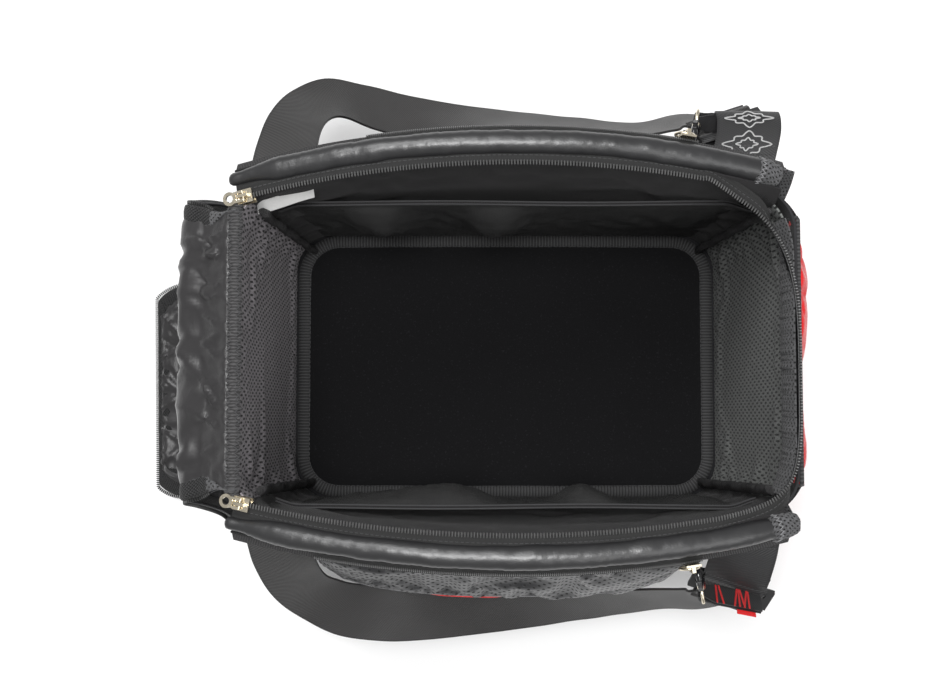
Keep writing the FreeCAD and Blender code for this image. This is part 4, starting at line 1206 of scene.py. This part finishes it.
STRAP = (
    (-161, -118.8, 238, 180, 0), (-161, -122.5, 231, 180, 0),
    (-161, -129.9, 222.2, 181, 2), (-160, -146, 205, 188, 10), (-154, -165, 182, 203, 18),
    (-141, -178.5, 160, 222, 20), (-120, -189.5, 143, 244, 14), (-92, -194, 131, 258, 12), (-55, -195, 124, 266, 22),
    (0, -192, 122, 270, 36), (55, -188, 127, 273, 52), (98, -182, 144, 275, 60), (124, -179.5, 153, 281, 64),
    (139, -179, 157, 322, 52), (150, -175, 166, 342, 34), (155, -172, 175, 348, 14), (156, -170, 181, 348, 4),
)
BACK_STRAP = (
    (-161, -118.8, 238, 180, 0), (-161, -122.5, 231, 180, 0),
    (-161, -129.9, 222.2, 181, 2), (-161, -150, 204, 188, 10), (-158, -172, 186, 200, 18), (-149, -189, 168, 217, 24),
    (-132, -197.5, 154, 240, 24), (-108, -194, 143, 255, 25), (-82, -189, 138, 262, 31), (-48, -186.5, 138, 268, 45),
    (0, -184, 140, 270, 58), (50, -179.5, 142, 272, 61), (95, -175.5, 146, 276, 64), (124, -179, 152, 283, 62),
    (139, -179, 157, 322, 52), (150, -175, 166, 342, 34), (155, -172, 175, 348, 14), (156, -170, 181, 348, 4),
)
TAB = (
    (160, -118.8, 238, 0, 0), (160, -122.5, 231, 0, 0), (160, -130.2, 222.8, 0, 0), (159, -139, 218.5, -6, 0),
    (157.5, -149, 212, -14, 0), (156.6, -156, 206, -18, 0), (156.2, -160.0, 200.8, -18, 0),
)
BACK_TAB = (
    (160, -118.8, 238, 0, 0), (160, -122.5, 231, 0, 0), (160, -130.2, 222.8, 0, 0), (162, -139, 222, 0, 0),
    (164.5, -148, 220.5, 0, 0), (166.5, -156, 218, 0, 0), (167.5, -163, 214.8, 0, 0), (168, -168.5, 211, 0, 0),
    (168, -172.5, 206.5, 0, 0), (168, -173.2, 202.5, 0, 0),
)
RING_AT = np.array([133.0, -167.5, 204.0])
STRIP_ALONG = np.array([0.957, -0.2015, -0.151])
BACK_STRIP_ALONG = np.array([0.985, 0.07, -0.15])
HOOK_ALONG = np.array([-0.25, 0.65, 0.72])


def ribbon(stations, width, columns=13, samples=10, crown=0.5):
    s = curve(stations, samples * (len(stations) - 1) + 1)
    plan, fall = np.radians(s[:, 3]), np.radians(s[:, 4])
    across = np.stack([np.cos(plan) * np.cos(fall), np.sin(plan) * np.cos(fall), -np.sin(fall)], 1)
    at = np.linspace(-width / 2, width / 2, columns)[None, :, None]
    rows = s[:, None, :3] + across[:, None] * at
    bow = crown * (1 - (at / (width / 2)) ** 2)
    wander = 0.35 * ripple(lengths(s[:, :3])[:, None], at[..., 0], 40, 13)[..., None]
    return rows + normals(rows) * (bow + wander)


def buckle_axes():
    """(long, across the bars, out of the face) of the slide buckle."""
    a, b = math.radians(42), math.radians(-18)
    long = np.array([math.cos(b), math.sin(b), 0])
    across = np.array([-math.sin(b) * math.cos(a), math.cos(b) * math.cos(a), math.sin(a)])
    return long, across, np.cross(long, across)


def on_rows(rows, u, v, lift):
    """Points at u and v (0 to 1) of a grid, lift above it."""
    n, m = rows.shape[:2]
    out = normals(rows)
    i, j = np.clip(u, 0, 1) * (n - 1), np.clip(v, 0, 1) * (m - 1)
    a, b = np.minimum(i.astype(int), n - 2), np.minimum(j.astype(int), m - 2)
    f, g = (i - a)[:, None], (j - b)[:, None]

    def pick(grid):
        return ((grid[a, b] * (1 - g) + grid[a, b + 1] * g) * (1 - f)
                + (grid[a + 1, b] * (1 - g) + grid[a + 1, b + 1] * g) * f)

    return pick(rows) + pick(out) * lift


def make_straps():
    long, over, face = buckle_axes()
    for name, side in SIDES:
        body = name + "_strap"
        strap = ribbon(STRAP if side < 0 else BACK_STRAP, 45.0)
        centre = np.array([156.0, -166.5, 189.5])
        wrap = [(-13.0, 2.4), (-8.6, 3.6), (-4.3, 2.0), (-1.6, 3.2), (1.0, 3.4), (3.4, 2.6), (4.2, 0.2), (2.6, -2.8),
                (-3, -3.4), (-9, -3.6), (-16, -3.4), (-22, -2.8)]
        path = curve([centre + over * a + face * b for a, b in wrap], 60)
        at = np.linspace(-22.3, 22.3, 9)[None, :, None]
        threaded = path[:, None] + long * at
        axis = mirrored(np.array([-161.0, -124.5, 228.0]), side)
        blend_to = mirrored(np.array([-161.0, -135.5, 216.0]), side)
        rows = mirrored(strap, side)
        webs = [piece(cloth(body + "_webbing", rows, 1.8, WEBBING), ("bag", body), "webbing", body,
                      start=axis, end=blend_to)]
        sheet(webs[0], [name + "_rim_leather"])
        tab = ribbon(TAB if side < 0 else BACK_TAB, 45.0)
        rows = mirrored(tab, side)
        start, end = (mirrored(np.array(p), side) for p in ((160.0, -124.5, 228.0), (160.0, -135.5, 216.0)))
        obj = piece(cloth(body + "_tab_webbing", rows, 1.8, TAB_WEBBING), ("bag", body), "webbing",
                    body + "_tab", *(["strap_anchors"] if side < 0 else []), start=start, end=end)
        sheet(obj, [name + "_rim_leather"])
        end_loop = [(12.4, 1.6), (10.6, 3.0), (8.0, 3.6), (5.4, 2.6), (4.2, 0.2), (5.6, -2.6), (8.6, -3.2),
                    (13.0, -2.6), (18.0, -2.2)]
        path = curve([centre + over * a + face * b for a, b in end_loop], 44)
        rows = mirrored(path[:, None] + long * at, side)
        piece(cloth(body + "_tab_fold", rows, 1.6, TAB_WEBBING), body, "webbing")
        piece(cloth(body + "_threaded_end", mirrored(threaded, side), 1.6, WEBBING), body, "webbing")
        for k, u in enumerate((0.33, 0.4)):
            v = np.linspace(0.08, 0.92, 30)
            line = on_rows(mirrored(tab, side), np.full(30, u), v, -1.2 * side)
            piece(repeated(f"{body}_tab_bartack_{k}", line, (0, side * 0.6, 0.8), 2.6, bead(2.0, 0.7, 0.7), DARK_THREAD),
                  body, "webbing")
        if side > 0:
            embroider(mirrored(tab, side), body)
        end_strip(side, body)
        for node, material in (("slide_buckle", PLASTIC), ("swivel_ring", GILT), ("snap_hook", BLACK_METAL),
                               ("hook_gate", BLACK_METAL), ("main_slider", GILT), ("main_puller", GILT),
                               ("pocket_slider", GILT), ("pocket_puller", GILT)):
            paint(f"{name}_{node}", material)


def embroider(rows, body):
    """White outline embroidery on the back tab: two lobed diamonds with a small one in each."""
    t = np.linspace(0, 2 * math.pi, 120)
    for k, (u0, v0, size) in enumerate(((0.42, 0.5, 1.0), (0.42, 0.5, 0.45), (0.73, 0.5, 1.0), (0.73, 0.5, 0.45))):
        shape = 1 / (abs(np.cos(t)) + abs(np.sin(t))) + 0.09 * np.cos(8 * t)
        u = u0 + 0.125 * size * shape * np.sin(t)
        v = v0 + 0.36 * size * shape * np.cos(t)
        line = on_rows(rows, u, v, -1.15)
        piece(tube(f"tab_embroidery_{k}", line, 0.55, 0.4, WHITE_THREAD, up=(0, 0.6, 0.8), sides=8, closed=True),
              body, "label_fabric")


def end_strip(side, body):
    """The narrow webbing strip with red bartacks that holds the hook's ring."""
    along = STRIP_ALONG if side < 0 else BACK_STRIP_ALONG
    along = along / np.linalg.norm(along)
    across = np.cross(along, HOOK_ALONG)
    across /= np.linalg.norm(across)
    up = np.cross(along, across)

    def at(a, b, c):
        return RING_AT + along * a + across * b + up * c

    turn = np.linspace(-0.5 * math.pi, -1.5 * math.pi, 12)
    lower = [(x, -1.2) for x in np.linspace(43.5, 6, 12)]
    nose = [(2.9 * math.cos(-a) + 0.0, 2.9 * math.sin(a)) for a in turn]
    upper = [(x, 1.2) for x in np.linspace(6, 43.5, 12)]
    path = curve([(a, 0, c) for a, c in lower + nose + upper], 90)
    wide = np.linspace(-1, 1, 9)
    half = np.interp(path[:, 0], (-3, 2, 9), (5.2, 5.4, 7.0))
    rows = np.array([[at(p[0], w * h, p[2]) for w in wide] for p, h in zip(path, half)])
    piece(cloth(body + "_end_webbing", mirrored(rows, side), 1.1, NARROW), body, "webbing", body + "_end_strip")
    lift = 2.1 * (1 if up[2] > 0 else -1)
    bartacks = (9.5, 13.0, 24.0, 26.4, 28.8, 31.2, 33.6) if side < 0 else (29.0, 31.2, 33.6)
    for k, x in enumerate(bartacks):
        lean = 1.6 * math.sin(k * 2.1)
        line = np.array([at(x + lean * b / 7, b, lift) for b in np.linspace(-6.8, 6.8, 12)])
        piece(tube(f"{body}_bartack_{k}", mirrored(line, side), 0.75, 0.5, RED_THREAD, up=tuple(mirrored(up * lift, side)),
                   sides=8), body, "red_fabric")
    if side > 0:
        return
    f, g = plane_grid(26, 40, 12, 2, 10, 10)
    rows = np.array([[at(f[i, j], -g[i, j] if lift > 0 else g[i, j], -2.4 * np.sign(lift)) for j in range(10)]
                     for i in range(12)])
    piece(cloth(body + "_red_tag", mirrored(rows, side), 0.8, RED), body, "red_fabric")


def paint(node, material):
    obj = frame["nodes"][node]
    if not obj.data.materials:
        obj.data.materials.append(material)
    for s in obj.material_slots:
        s.material = material


# ---------------------------------------------------------------- stage

def make_stage():
    data = bpy.data.meshes.new("floor")
    size = 6.0
    data.from_pydata([(-size, -size, 0), (size, -size, 0), (size, size, 0), (-size, size, 0)], [], [(0, 1, 2, 3)])
    floor = bpy.data.objects.new("floor", data)
    scene.collection.objects.link(floor)
    s = Shade("floor_paper")
    data.materials.append(s.finish(s.mix(s.noise(400, 2), (0.93, 0.93, 0.93), (0.95, 0.95, 0.95)), 0.9,
                                   s.noise(2, 2), 0.01))
    world = bpy.data.worlds.new("studio")
    world.use_nodes = True
    world.node_tree.nodes["Background"].inputs["Color"].default_value = (1, 1, 1, 1)
    world.node_tree.nodes["Background"].inputs["Strength"].default_value = 0.34
    scene.world = world
    for name, place, size, power in (("key", (-0.5, 0.9, 1.7), 0.7, 13), ("fill", (0.9, -0.8, 1.6), 1.0, 8),
                                     ("top", (-0.1, 0.05, 2.1), 0.6, 30)):
        light = bpy.data.lights.new(name, "AREA")
        light.size = size
        light.energy = power
        lamp = bpy.data.objects.new(name, light)
        lamp.location = place
        way = np.array([0, 0, 0.12]) - np.array(place)
        lamp.rotation_euler = (math.acos(-way[2] / np.linalg.norm(way)), 0,
                               math.atan2(way[1], way[0]) - math.pi / 2)
        scene.collection.objects.link(lamp)
    camera = bpy.data.cameras.new("camera")
    camera.lens = 44.19
    camera.sensor_width = 36.0
    eye = bpy.data.objects.new("camera", camera)
    eye.location = (-0.0266, -0.044, 1.030)
    eye.rotation_euler = (math.radians(3.25), 0, 0)
    scene.collection.objects.link(eye)
    scene.camera = eye
    scene.view_settings.view_transform = "Standard"


make_stage()
make_base()
make_walls()
make_rim()
make_lid()
make_pockets()
make_straps()
